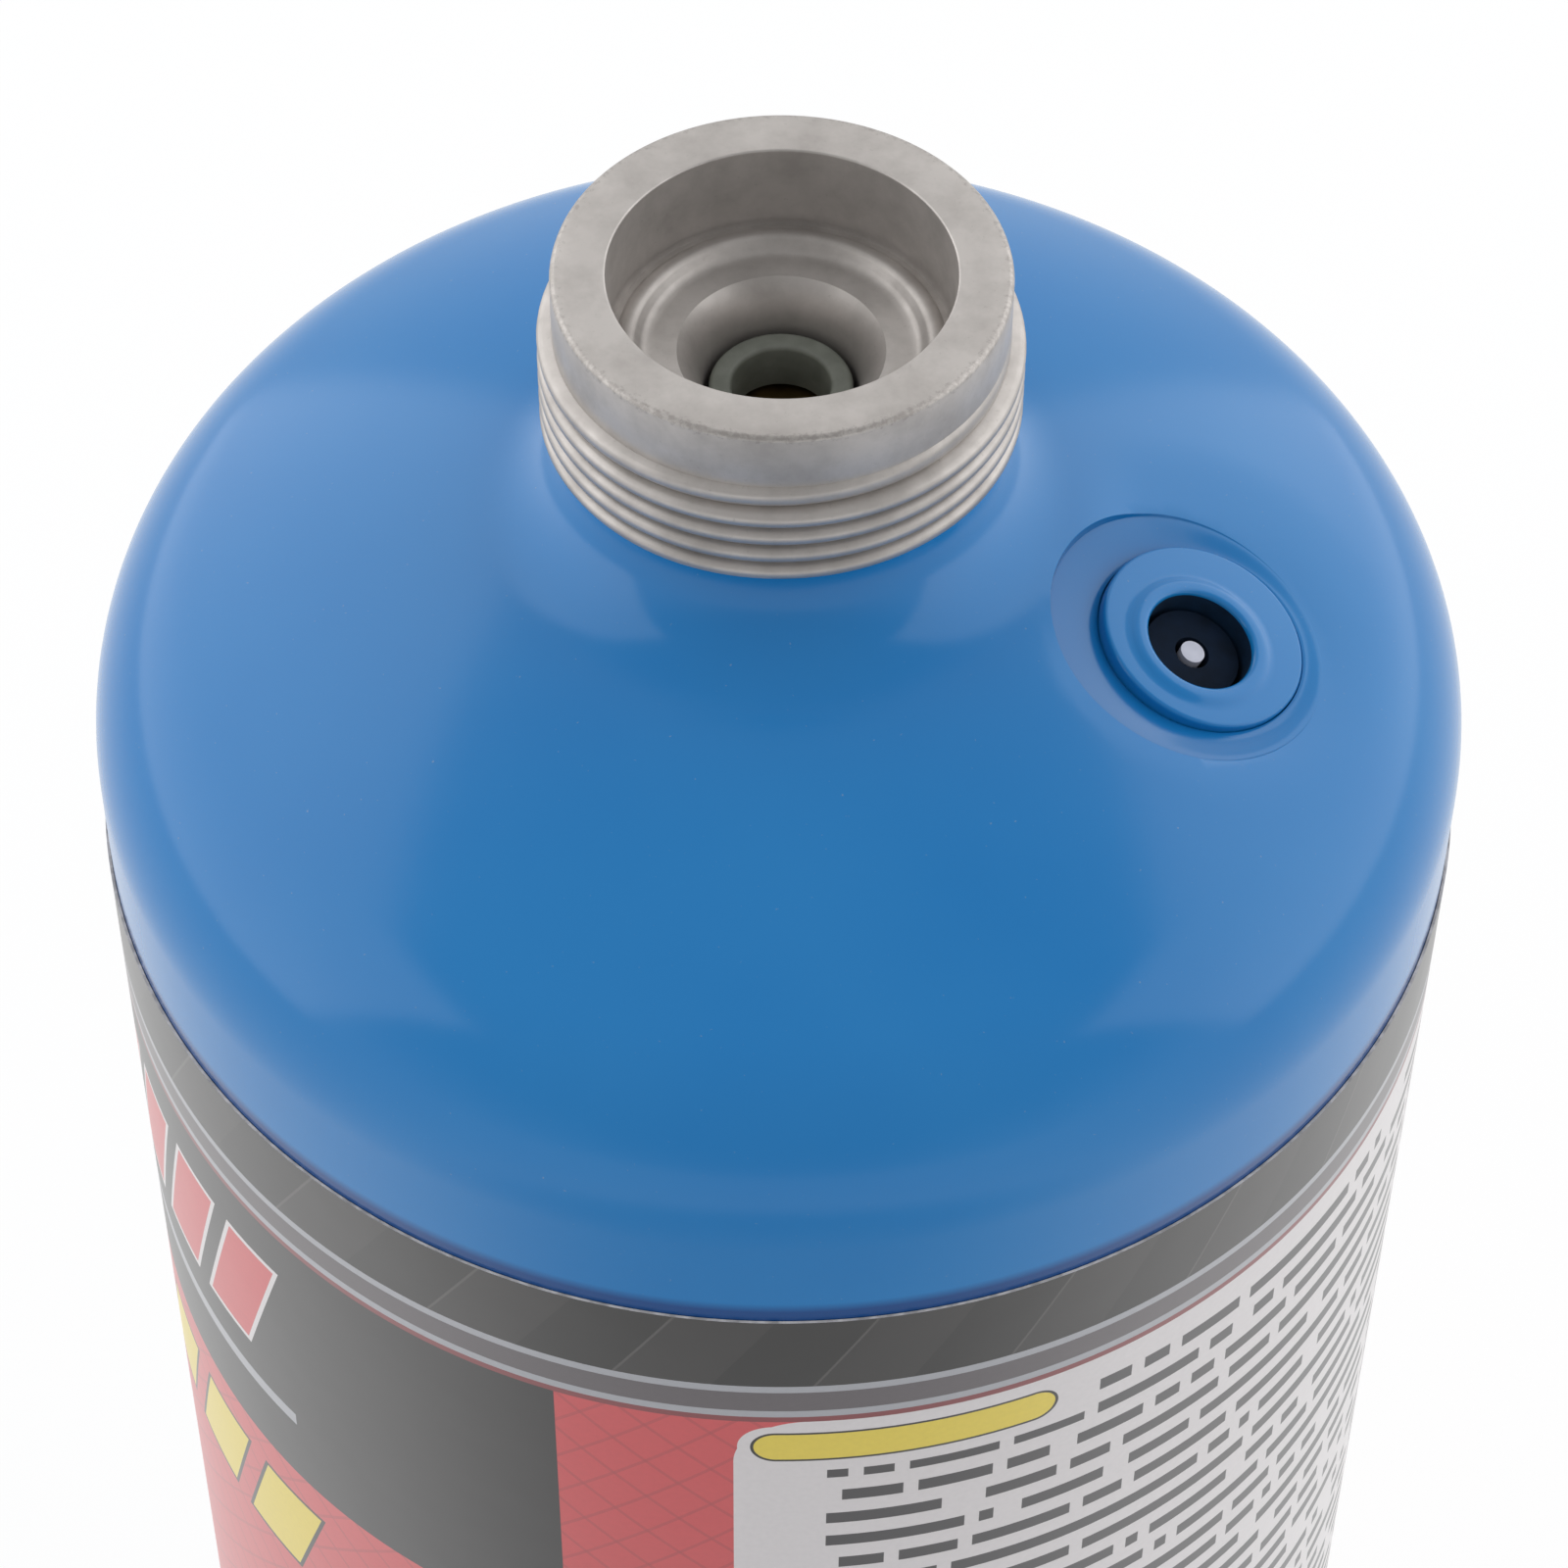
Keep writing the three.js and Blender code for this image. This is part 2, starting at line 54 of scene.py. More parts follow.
MM = 0.001
FULL_TURN = 2 * math.pi
ROUND_STEPS = 256
SMALL_STEPS = 96
SHARP_ANGLE = math.radians(38)
MERGE_DISTANCE = 1e-7
CAN_BODY = "can"

Pair = tuple[float, float]
Source = Node | NodeSocket


class Slot(Enum):
    """Material slots of the pieces that are modelled here."""

    ENAMEL = "blue_enamel"
    PAPER = "label_paper"
    PLATED_STEEL = "plated_steel"
    SEAL_RUBBER = "seal_rubber"


def linear(hex_colour: str) -> tuple[float, float, float, float]:
    """Turns an sRGB hex colour to the linear values that shaders take.

    Args:
        hex_colour: Six hex digits, such as "2f79b8".

    Returns:
        Linear red, green, blue and an alpha of 1.
    """
    channels = []
    for start in (0, 2, 4):
        value = int(hex_colour[start:start + 2], 16) / 255
        channels.append(value / 12.92 if value <= 0.04045 else ((value + 0.055) / 1.055) ** 2.4)
    return (*channels, 1.0)


def arc(centre_r: float, centre_z: float, radius: float, start: float, end: float, steps: int) -> list[Pair]:
    """Points of an arc in a turned outline.

    Args:
        centre_r: Radius of the arc's centre from the axis, in millimetres.
        centre_z: Height of the arc's centre, in millimetres.
        radius: Radius of the arc, in millimetres.
        start: First angle from the radial direction, in degrees.
        end: Last angle, in degrees.
        steps: Number of chords.

    Returns:
        Points as (radius, height), ends included.
    """
    angles = [math.radians(start + (end - start) * i / steps) for i in range(steps + 1)]
    return [(centre_r + radius * math.cos(a), centre_z + radius * math.sin(a)) for a in angles]


def turned(outline: Iterable[Pair], steps: int, closed: bool = False) -> BMesh:
    """Spins an outline about the Z axis.

    Args:
        outline: Points as (radius, height), in millimetres.
        steps: Number of steps in the full turn.
        closed: True where the outline closes on itself off the axis.

    Returns:
        A new bmesh in metres with its normals pointing out.
    """
    bm = bmesh.new()
    verts = [bm.verts.new((r * MM, 0, z * MM)) for r, z in outline]
    edges = [bm.edges.new(pair) for pair in zip(verts, verts[1:])]
    if closed:
        edges.append(bm.edges.new((verts[-1], verts[0])))
    bmesh.ops.spin(
        bm, geom=verts + edges, cent=(0, 0, 0), axis=(0, 0, 1), dvec=(0, 0, 0), angle=FULL_TURN,
        steps=steps, use_merge=True)
    bmesh.ops.remove_doubles(bm, verts=bm.verts, dist=MERGE_DISTANCE)
    bmesh.ops.recalc_face_normals(bm, faces=bm.faces)
    return bm


def round_rings(bm: BMesh, corners: Iterable[Pair], width: float, segments: int = 3) -> None:
    """Bevels the ring edges of a turned mesh that lie at given corners of its outline.

    Args:
        bm: The turned mesh, in metres.
        corners: Corners of the outline as (radius, height), in millimetres.
        width: Width of the bevel, in millimetres.
        segments: Number of segments across the bevel.
    """
    def lies_at(vert: BMVert, corner: Pair) -> bool:
        radius = math.hypot(vert.co.x, vert.co.y) / MM
        return abs(radius - corner[0]) < 0.01 and abs(vert.co.z / MM - corner[1]) < 0.01

    for corner in corners:
        ring = [edge for edge in bm.edges if all(lies_at(vert, corner) for vert in edge.verts)]
        bmesh.ops.bevel(
            bm, geom=ring, offset=width * MM, offset_type="OFFSET", segments=segments, profile=0.5,
            affect="EDGES", material=-1, clamp_overlap=True)


def finish(name: str, bm: BMesh, materials: Iterable[Material], nodes: Iterable[str]) -> None:
    """Turns a bmesh into a shaded piece that rides on the can and stands for nodes of the frame.

    Args:
        name: Name of the piece.
        bm: The mesh in the part's frame, in metres. It is freed.
        materials: Materials in the order of the face indices.
        nodes: Names of the frame's nodes that the piece stands for.
    """
    mesh = bpy.data.meshes.new(name)
    bm.to_mesh(mesh)
    bm.free()
    mesh.shade_smooth()
    mesh.set_sharp_from_angle(angle=SHARP_ANGLE)
    for material in materials:
        mesh.materials.append(material)
    piece = bpy.data.objects.new(name, mesh)
    bpy.context.scene.collection.objects.link(piece)
    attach(piece, CAN_BODY)
    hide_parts(*nodes)
    log.info("%s: %d faces", name, len(mesh.polygons))


class NodeTree:
    """Nodes of a material or of the world, from an empty tree."""

    def __init__(self, tree: bpy.types.NodeTree, output: str) -> None:
        """Empties the tree and gives it its output node.

        Args:
            tree: The node tree.
            output: Type of its output node.
        """
        self.tree = tree
        self.tree.nodes.clear()
        self.output = self.tree.nodes.new(output)

    def add(self, kind: str, inputs: dict | None = None, **settings: object) -> Node:
        """Adds a node.

        Args:
            kind: The node's type without its prefix, such as "Math".
            inputs: Values, or sources to link, by the name or number of the input.
            settings: Properties of the node.

        Returns:
            The new node. As a source it stands for its first output in use.
        """
        node = self.tree.nodes.new("ShaderNode" + kind)
        for key, value in settings.items():
            setattr(node, key, value)
        for key, value in (inputs or {}).items():
            if isinstance(value, Node):
                value = next(output for output in value.outputs if output.enabled)
            if isinstance(value, NodeSocket):
                self.tree.links.new(value, node.inputs[key])
            else:
                node.inputs[key].default_value = value
        return node

    def ramp(self, source: Source, stops: Iterable[tuple[float, str]], stepped: bool = False) -> Source:
        """Colours a value by a row of stops.

        Args:
            source: The value, from 0 to 1.
            stops: Position and sRGB hex colour of each stop.
            stepped: True for fields with hard edges, False for a gradient.

        Returns:
            The colour's node.
        """
        node = self.add("ValToRGB", {0: source})
        bar = node.color_ramp
        bar.interpolation = "CONSTANT" if stepped else "LINEAR"
        for number, (position, colour) in enumerate(stops):
            stop = bar.elements[number] if number < 2 else bar.elements.new(position)
            stop.position = position
            stop.color = linear(colour)
        return node

    def close(self, surface: Node) -> None:
        """Links the surface shader to the output."""
        self.tree.links.new(surface.outputs[0], self.output.inputs["Surface"])


class Shader(NodeTree):
    """Node tree of one material."""

    def __init__(self, name: str) -> None:
        """Starts an empty material."""
        self.material = bpy.data.materials.new(name)
        self.material.use_nodes = True
        super().__init__(self.material.node_tree, "ShaderNodeOutputMaterial")

    def close(self, surface: Node) -> Material:
        """Links the surface shader to the output and returns the material."""
        super().close(surface)
        return self.material


@dataclass(frozen=True)
class BakedEnamel:
    """Sprayed and baked alkyd enamel on drawn steel.

    The coat flows out glossy but keeps a faint orange peel and collects a little dust while it bakes.
    Painted shade darkens it inside the drawn recess and in a narrow band just above the paper wrap.
    """

    colour: str = "1473b4"
    pale: str = "1e78b7"
    dust: str = "5f86ab"
    # painted shade: colour of a narrow dark band in the enamel just above the paper wrap's top edge
    label_edge_shade: str = "004381"
    # painted shade: dark colour of the enamel in the drawn recess and along its crisp rim
    recess_shade: str = "105f9b"
    roughness: float = 0.17
    ior: float = 1.45
    peel_mm: float = 0.9
    cloud_mm: float = 22.0
    dust_mm: float = 0.22
    dust_range: Pair = (0.77, 0.84)
    label_edge_shade_z_mm: float = 211.6
    label_edge_shade_height_mm: float = 1.5

    def build(self) -> Material:
        """Returns the enamel material."""
        shader = Shader("baked_enamel")
        place = shader.add("TexCoord").outputs["Object"]
        cloud = shader.add("TexNoise", {
            "Vector": place, "Scale": 1 / (self.cloud_mm * MM), "Detail": 3.0, "Roughness": 0.55})
        base = shader.ramp(cloud, [(0.35, self.colour), (0.75, self.pale)])
        specks = shader.add("TexNoise", {"Vector": place, "Scale": 1 / (self.dust_mm * MM), "Detail": 1.0})
        speck = shader.add("MapRange", {0: specks, 1: self.dust_range[0], 2: self.dust_range[1]})
        dusty = shader.add("Mix", {0: speck, 6: base, 7: linear(self.dust)}, data_type="RGBA")
        height = shader.add("SeparateXYZ", {0: place})
        # painted shade: the enamel goes dark in a narrow band just above the paper wrap's top edge, darkest
        # at its foot and fading out upwards
        low = self.label_edge_shade_z_mm * MM
        half = low + self.label_edge_shade_height_mm / 2 * MM
        band = shader.add("MapRange", {
            0: height.outputs["Z"], 1: half, 2: low + self.label_edge_shade_height_mm * MM, 3: 1.0, 4: 0.0})
        above = shader.add("Math", {0: height.outputs["Z"], 1: low - MM}, operation="GREATER_THAN")
        label_edge_shade = shader.add("Math", {0: band, 1: above}, operation="MULTIPLY")
        # painted shade: the mesh's attribute of painted shade darkens the enamel in the drawn recess
        recess_shade_share = shader.add("Attribute", attribute_name="recess_shade").outputs["Fac"]
        recess_shade = shader.add("Mix", {0: recess_shade_share, 6: dusty, 7: linear(self.recess_shade)}, data_type="RGBA")
        colour = shader.add("Mix", {0: label_edge_shade, 6: recess_shade, 7: linear(self.label_edge_shade)}, data_type="RGBA")
        peel = shader.add("TexNoise", {"Vector": place, "Scale": 1 / (self.peel_mm * MM), "Detail": 1.5})
        bump = shader.add("Bump", {"Strength": 0.16, "Distance": 0.02 * MM, "Height": peel})
        return shader.close(shader.add("BsdfPrincipled", {
            "Base Color": colour, "Roughness": self.roughness, "IOR": self.ior, "Normal": bump}))


@dataclass(frozen=True)
class ZincPlatedSteel:
    """Free-cutting steel, turned on a lathe and zinc plated.

    The plating is a soft warm grey with cloudy stains, and fine tool marks run round the part.
    """

    name: str = "zinc_plated_steel"
    bright: str = "b8b3af"
    dull: str = "a6a19d"
    worn: str = "918c88"
    stain_mm: float = 2.6
    mark_mm: float = 0.11
    roughness: Pair = (0.38, 0.48)
    metallic: float = 0.7
    edge_mm: Pair = (11.85, 250.45)
    edge_reach_mm: float = 0.55
    nick_mm: float = 0.3

    def build(self) -> Material:
        """Returns the plated steel material."""
        shader = Shader(self.name)
        place = shader.add("TexCoord").outputs["Object"]
        stain = shader.add("TexNoise", {
            "Vector": place, "Scale": 1 / (self.stain_mm * MM), "Detail": 6.0, "Roughness": 0.62})
        colour = shader.ramp(stain, [(0.3, self.dull), (0.62, self.bright)])
        rough = shader.add("MapRange", {
            0: stain, 1: 0.3, 2: 0.7, 3: self.roughness[1], 4: self.roughness[0]})
        parts = shader.add("SeparateXYZ", {0: place})
        flat = shader.add("CombineXYZ", {0: parts.outputs["X"], 1: parts.outputs["Y"]})
        radius = shader.add("VectorMath", {0: flat}, operation="LENGTH")
        along = shader.add("CombineXYZ", {0: radius, 1: parts.outputs["Z"]})
        marks = shader.add("TexNoise", {"Vector": along, "Scale": 1 / (self.mark_mm * MM), "Detail": 2.0})
        bump = shader.add("Bump", {"Strength": 0.25, "Distance": 0.012 * MM, "Height": marks})
        edge = (self.edge_mm[0] * MM, self.edge_mm[1] * MM, 0)
        near = shader.add("VectorMath", {0: along, 1: edge}, operation="DISTANCE")
        nicks = shader.add("TexNoise", {
            "Vector": place, "Scale": 1 / (self.nick_mm * MM), "Detail": 3.0, "Roughness": 0.7})
        close = shader.add("MapRange", {0: near, 1: 0.0, 2: self.edge_reach_mm * MM, 3: 0.16, 4: -0.12})
        worn = shader.add("Math", {0: nicks, 1: close}, operation="ADD")
        rubbed = shader.add("MapRange", {0: worn, 1: 0.52, 2: 0.66, 3: 0.0, 4: 0.6})
        colour = shader.add("Mix", {0: rubbed, 6: colour, 7: linear(self.worn)}, data_type="RGBA")
        return shader.close(shader.add("BsdfPrincipled", {
            "Base Color": colour, "Metallic": self.metallic, "Roughness": rough, "Normal": bump}))


@dataclass(frozen=True)
class PlainFinish:
    """A moulded or drawn finish: one material with cloudy tone and a fine grain."""

    name: str
    colour: str
    shade: str
    roughness: float
    metallic: float = 0.0
    ior: float = 1.5
    cloud_mm: float = 1.5
    grain_mm: float = 0.12
    grain_depth_mm: float = 0.01

    def build(self) -> Material:
        """Returns the material."""
        shader = Shader(self.name)
        place = shader.add("TexCoord").outputs["Object"]
        cloud = shader.add("TexNoise", {"Vector": place, "Scale": 1 / (self.cloud_mm * MM), "Detail": 3.0})
        colour = shader.ramp(cloud, [(0.35, self.shade), (0.65, self.colour)])
        grain = shader.add("TexNoise", {"Vector": place, "Scale": 1 / (self.grain_mm * MM), "Detail": 1.0})
        bump = shader.add("Bump", {"Strength": 0.3, "Distance": self.grain_depth_mm * MM, "Height": grain})
        return shader.close(shader.add("BsdfPrincipled", {
            "Base Color": colour, "Metallic": self.metallic, "Roughness": self.roughness, "IOR": self.ior,
            "Normal": bump}))


TURNED_BRASS = PlainFinish("turned_brass", "7d6640", "5f4c2e", 0.45, metallic=1.0)
SPRING_WIRE = PlainFinish("spring_wire", "9a9ca0", "76787c", 0.3, metallic=1.0)
NITRILE_SEAL = PlainFinish("nitrile_seal", "74776e", "676a61", 0.5, cloud_mm=1.2)
BLACK_NITRILE = PlainFinish("black_nitrile", "1e1f21", "161718", 0.7)
PALE_ACETAL = PlainFinish("pale_acetal", "c3c5d2", "b2b4c2", 0.45)
# partly painted shade: the gland's dark nylon is given a near-black navy and a dull gloss that stand in for
# the shade deep in the bore
NYLON_AND_BORE_SHADE = PlainFinish("nylon_and_bore_shade", "0b1b2e", "081524", 0.85, ior=1.25)
# painted shade: a dark navy finish for the bore's wall below its enamelled mouth, in place of the shade deep
# in the narrow bore
BORE_WALL_SHADE = PlainFinish("bore_wall_shade", "0b2740", "081c30", 0.8, ior=1.3)
PAPER_EDGE = PlainFinish("cut_paper_edge", "d9d6d4", "a9a6a4", 0.8, cloud_mm=0.7)


@dataclass(frozen=True)
class PrintedShape:
    """A printed shape on the paper wrap: a rounded and perhaps slanted box.

    Places are millimetres along the wrap from the front, to the right, and below its top edge.
    """

    colour: str
    centre: Pair
    half: Pair
    corner: float = 0.0
    slant: float = 0.0
    laced: bool = False

    def mask(self, shader: Shader, place: Source) -> Source:
        """Adds the nodes that are 1 inside the shape.

        Args:
            shader: The material's node tree.
            place: Place on the wrap, in millimetres.

        Returns:
            The mask's node.
        """
        if self.slant:
            sheared = shader.add("VectorMath", {0: place, 1: (1, self.slant, 0)}, operation="DOT_PRODUCT")
            parts = shader.add("SeparateXYZ", {0: place})
            place = shader.add("CombineXYZ", {0: sheared, 1: parts.outputs["Y"]})
        offset = shader.add("VectorMath", {0: place, 1: (*self.centre, 0)}, operation="SUBTRACT")
        folded = shader.add("VectorMath", {0: offset}, operation="ABSOLUTE")
        inner = (self.half[0] - self.corner, self.half[1] - self.corner, 1)
        beyond = shader.add("VectorMath", {0: folded, 1: inner}, operation="SUBTRACT")
        outside = shader.add("VectorMath", {0: beyond, 1: (0, 0, 0)}, operation="MAXIMUM")
        distance = shader.add("VectorMath", {0: outside}, operation="LENGTH")
        return shader.add("Math", {0: distance, 1: self.corner + 0.001}, operation="LESS_THAN")


@dataclass(frozen=True)
class PrintedPaper:
    """Coated paper, offset printed in fields of colour and laminated to a semi-gloss sheen."""

    height_mm: float
    charcoal: str = "232221"
    charcoal_light: str = "302e2d"
    charcoal_seam: str = "4d4a48"
    pale_line: str = "a2a3a8"
    halftone: str = "5d575a"
    red: str = "c84549"
    red_line: str = "803539"
    black: str = "1f1d1d"
    panel: str = "d2cdcd"
    yellow: str = "dcc53e"
    ink: str = "1e1c1c"
    print_grey: str = "3c3a3c"
    roughness: float = 0.42
    laminate: float = 0.7
    red_lace: str = "a83c41"
    band_mm: float = 6.0
    band_lean: float = 0.56
    stripe_mm: float = 10.8
    seam_mm: float = 0.16
    line_mm: float = 0.6
    halftone_mm: float = 1.75
    red_line_mm: float = 0.5
    lace_mm: float = 3.6
    lace_share: float = 0.09
    lace_strength: float = 0.55
    slanted_boxes: int = 4
    slant: float = 0.35
    row_mm: float = 2.35
    rule_share: float = 0.45
    row_shift: float = 0.37
    word_mm: float = 0.85
    gap_share: float = 0.2

    def reach(self) -> float:
        """Depth of the bands below the wrap's top edge, in millimetres."""
        return self.band_mm + 2 * self.line_mm + self.halftone_mm + self.red_line_mm

    def shapes(self) -> list[PrintedShape]:
        """Fields and generic shapes of the print, from the lowest layer up."""
        top = self.reach()
        foot = self.height_mm - top
        middle = (top + foot) / 2
        half = (foot - top) / 2
        shapes = [
            PrintedShape(self.red, (-2.0, middle), (10.1, half), laced=True),
            PrintedShape(self.red, (-46.0, top + 58.0), (34.0, 33.0), laced=True),
            PrintedShape(self.red, (96.0, middle), (16.0, half), laced=True),
            PrintedShape(self.panel, (39.9, middle), (42.1, half), corner=4.0),
            PrintedShape(self.pale_line, (-42.0, top + 18.6), (11.0, 0.55)),
        ]
        for first, step, down, layers in (
                (-54.0, 6.2, top + 9.4, ((self.panel, (2.45, 5.6)), (self.red, (2.1, 5.2)))),
                (-56.0, 7.4, top + 32.4, ((self.ink, (2.9, 4.4)), (self.yellow, (2.6, 4.1))))):
            for number in range(self.slanted_boxes):
                centre = (first + step * number + self.slant * down, down)
                shapes += [PrintedShape(ink, centre, size, slant=self.slant) for ink, size in layers]
        return shapes

    def capsules(self) -> list[PrintedShape]:
        """Yellow capsules down the pale panel's edge, with the bare paper round them."""
        shapes = []
        for down in (2.5, 62.5, 122.5):
            place = (7.3, self.reach() + down)
            layers = ((self.panel, 9.3, 2.0), (self.ink, 8.6, 1.4), (self.yellow, 8.42, 1.22))
            shapes += [PrintedShape(ink, place, (length, corner), corner) for ink, length, corner in layers]
        return shapes

    def build(self) -> Material:
        """Returns the printed paper material."""
        shader = Shader("printed_paper")
        place = shader.add("UVMap", uv_map="wrap")
        colour = linear(self.black)
        laced = self.laced_red(shader, place)
        for shape in self.shapes():
            ink = laced if shape.laced else linear(shape.colour)
            colour = shader.add("Mix", {0: shape.mask(shader, place), 6: colour, 7: ink}, data_type="RGBA")
        colour = self.rows(shader, place, colour)
        for shape in self.capsules():
            colour = shader.add(
                "Mix", {0: shape.mask(shader, place), 6: colour, 7: linear(shape.colour)}, data_type="RGBA")
        colour = self.bands(shader, place, colour)
        fibre = shader.add("TexNoise", {"Vector": place, "Scale": 2.5, "Detail": 4.0})
        tone = shader.add("MapRange", {0: fibre, 3: 0.93, 4: 1.05})
        printed = shader.add("VectorMath", {0: colour, 3: tone}, operation="SCALE")
        wave = shader.add("TexNoise", {"Vector": place, "Scale": 0.12, "Detail": 2.0})
        bump = shader.add("Bump", {"Strength": 0.35, "Distance": 0.25 * MM, "Height": wave})
        return shader.close(shader.add("BsdfPrincipled", {
            "Base Color": printed, "Roughness": self.roughness, "IOR": 1.5, "Coat Weight": self.laminate,
            "Coat Roughness": 0.28, "Normal": bump}))

    def laced_red(self, shader: Shader, place: Source) -> Source:
        """Adds the red field's fine crossing lines.

        Args:
            shader: The material's node tree.
            place: Place on the wrap, in millimetres.

        Returns:
            The colour of the red field.
        """
        colour = shader.add("RGB").outputs[0]
        colour.default_value = linear(self.red)
        for lean in (1.0, -1.0):
            across = shader.add(
                "VectorMath", {0: place, 1: (1 / self.lace_mm, lean / self.lace_mm, 0)},
                operation="DOT_PRODUCT")
            part = shader.add("Math", {0: across}, operation="FRACT")
            line = shader.add("Math", {0: part, 1: self.lace_share}, operation="LESS_THAN")
            faint = shader.add("Math", {0: line, 1: self.lace_strength}, operation="MULTIPLY")
            colour = shader.add("Mix", {0: faint, 6: colour, 7: linear(self.red_lace)}, data_type="RGBA")
        return colour

    def rows(self, shader: Shader, place: Source, colour: Source) -> Source:
        """Adds plain broken rules to the pale panel, where a real wrap has its small print.

        Args:
            shader: The material's node tree.
            place: Place on the wrap, in millimetres.
            colour: The print so far.

        Returns:
            The print with the rules.
        """
        parts = shader.add("SeparateXYZ", {0: place})
        around, down = parts.outputs["X"], parts.outputs["Y"]
        row = shader.add("Math", {0: down, 1: self.row_mm}, operation="DIVIDE")
        number = shader.add("Math", {0: row}, operation="FLOOR")
        part = shader.add("Math", {0: row}, operation="FRACT")
        upper = shader.add("Math", {0: part, 1: self.rule_share}, operation="LESS_THAN")
        shift = shader.add("Math", {0: number, 1: self.row_shift}, operation="MULTIPLY")
        along = shader.add("Math", {0: around, 1: self.word_mm}, operation="DIVIDE")
        letter = shader.add("Math", {0: along, 1: shift}, operation="ADD")
        cell = shader.add("Math", {0: letter}, operation="FLOOR")
        seed = shader.add("CombineXYZ", {0: cell, 1: number})
        chance = shader.add("TexWhiteNoise", {"Vector": seed})
        word = shader.add("Math", {0: chance, 1: self.gap_share}, operation="GREATER_THAN")
        ruled = shader.add("Math", {0: upper, 1: word}, operation="MULTIPLY")
        first = self.reach() + 4.9
        last = self.height_mm - self.reach() - 6.0
        below = PrintedShape(self.ink, (40.4, (first + last) / 2), (37.5, (last - first) / 2))
        beside = PrintedShape(self.ink, (48.2, first - 1.6), (29.7, 2.0))
        inside = shader.add(
            "Math", {0: below.mask(shader, place), 1: beside.mask(shader, place)}, operation="MAXIMUM")
        mask = shader.add("Math", {0: ruled, 1: inside}, operation="MULTIPLY")
        return shader.add("Mix", {0: mask, 6: colour, 7: linear(self.print_grey)}, data_type="RGBA")

    def bands(self, shader: Shader, place: Source, colour: Source) -> Source:
        """Adds the bands that run round the wrap at its top and, mirrored, at its bottom.

        Args:
            shader: The material's node tree.
            place: Place on the wrap, in millimetres.
            colour: The print so far.

        Returns:
            The print with the bands.
        """
        parts = shader.add("SeparateXYZ", {0: place})
        around, down = parts.outputs["X"], parts.outputs["Y"]
        up = shader.add("Math", {0: self.height_mm, 1: down}, operation="SUBTRACT")
        depth = shader.add("Math", {0: down, 1: up}, operation="MINIMUM")
        slanted = shader.add("Math", {0: depth, 1: self.band_lean, 2: around}, operation="MULTIPLY_ADD")
        stripe = shader.add("Math", {0: slanted, 1: self.stripe_mm}, operation="DIVIDE")
        phase = shader.add("Math", {0: stripe}, operation="FRACT")
        seam = self.seam_mm / self.stripe_mm
        striped = shader.ramp(
            phase, [(0.0, self.charcoal), (0.5, self.charcoal_seam), (0.5 + seam, self.charcoal_light)],
            stepped=True)
        levels = [self.band_mm, self.line_mm, self.halftone_mm, self.line_mm, self.red_line_mm]
        edges = [sum(levels[:count]) for count in range(1, len(levels) + 1)]
        reach = edges[-1]
        share = shader.add("Math", {0: depth, 1: reach}, operation="DIVIDE")
        tones = [self.pale_line, self.halftone, self.pale_line, self.red_line]
        stops = [(0.0, self.charcoal)]
        stops += [(edge / reach, tone) for edge, tone in zip(edges, tones)]
        ruled = shader.ramp(share, stops, stepped=True)
        in_reach = shader.add("Math", {0: depth, 1: reach}, operation="LESS_THAN")
        in_band = shader.add("Math", {0: depth, 1: self.band_mm}, operation="LESS_THAN")
        with_lines = shader.add("Mix", {0: in_reach, 6: colour, 7: ruled}, data_type="RGBA")
        return shader.add("Mix", {0: in_band, 6: with_lines, 7: striped}, data_type="RGBA")


@dataclass
class ReliefFrame:
    """A place on the crown's sphere, square to it, on the relief valve's side of the can."""

    offset: float = 23.9
    azimuth: float = -17.9
    crown_radius: float = 70.0
    crown_centre_z: float = 165.592
    rim_shift: Pair = (-0.8, -0.2)
    boss_shift: Pair = (0.1, 0.55)

    def matrix(self) -> Matrix:
        """Matrix from the valve's own frame, in metres, to the part's frame."""
        turn = math.radians(self.azimuth)
        tilt = math.asin(self.offset / self.crown_radius)
        height = self.crown_centre_z + math.sqrt(self.crown_radius ** 2 - self.offset ** 2)
        place = Vector((self.offset * math.cos(turn), self.offset * math.sin(turn), height)) * MM
        return Matrix.Translation(place) @ Matrix.Rotation(turn, 4, "Z") @ Matrix.Rotation(tilt, 4, "Y")

    def drop(self, radius: float) -> float:
        """Depth of the crown below its tangent plane at a radius from the valve's axis, in millimetres."""
        return self.crown_radius - math.sqrt(self.crown_radius ** 2 - radius ** 2)


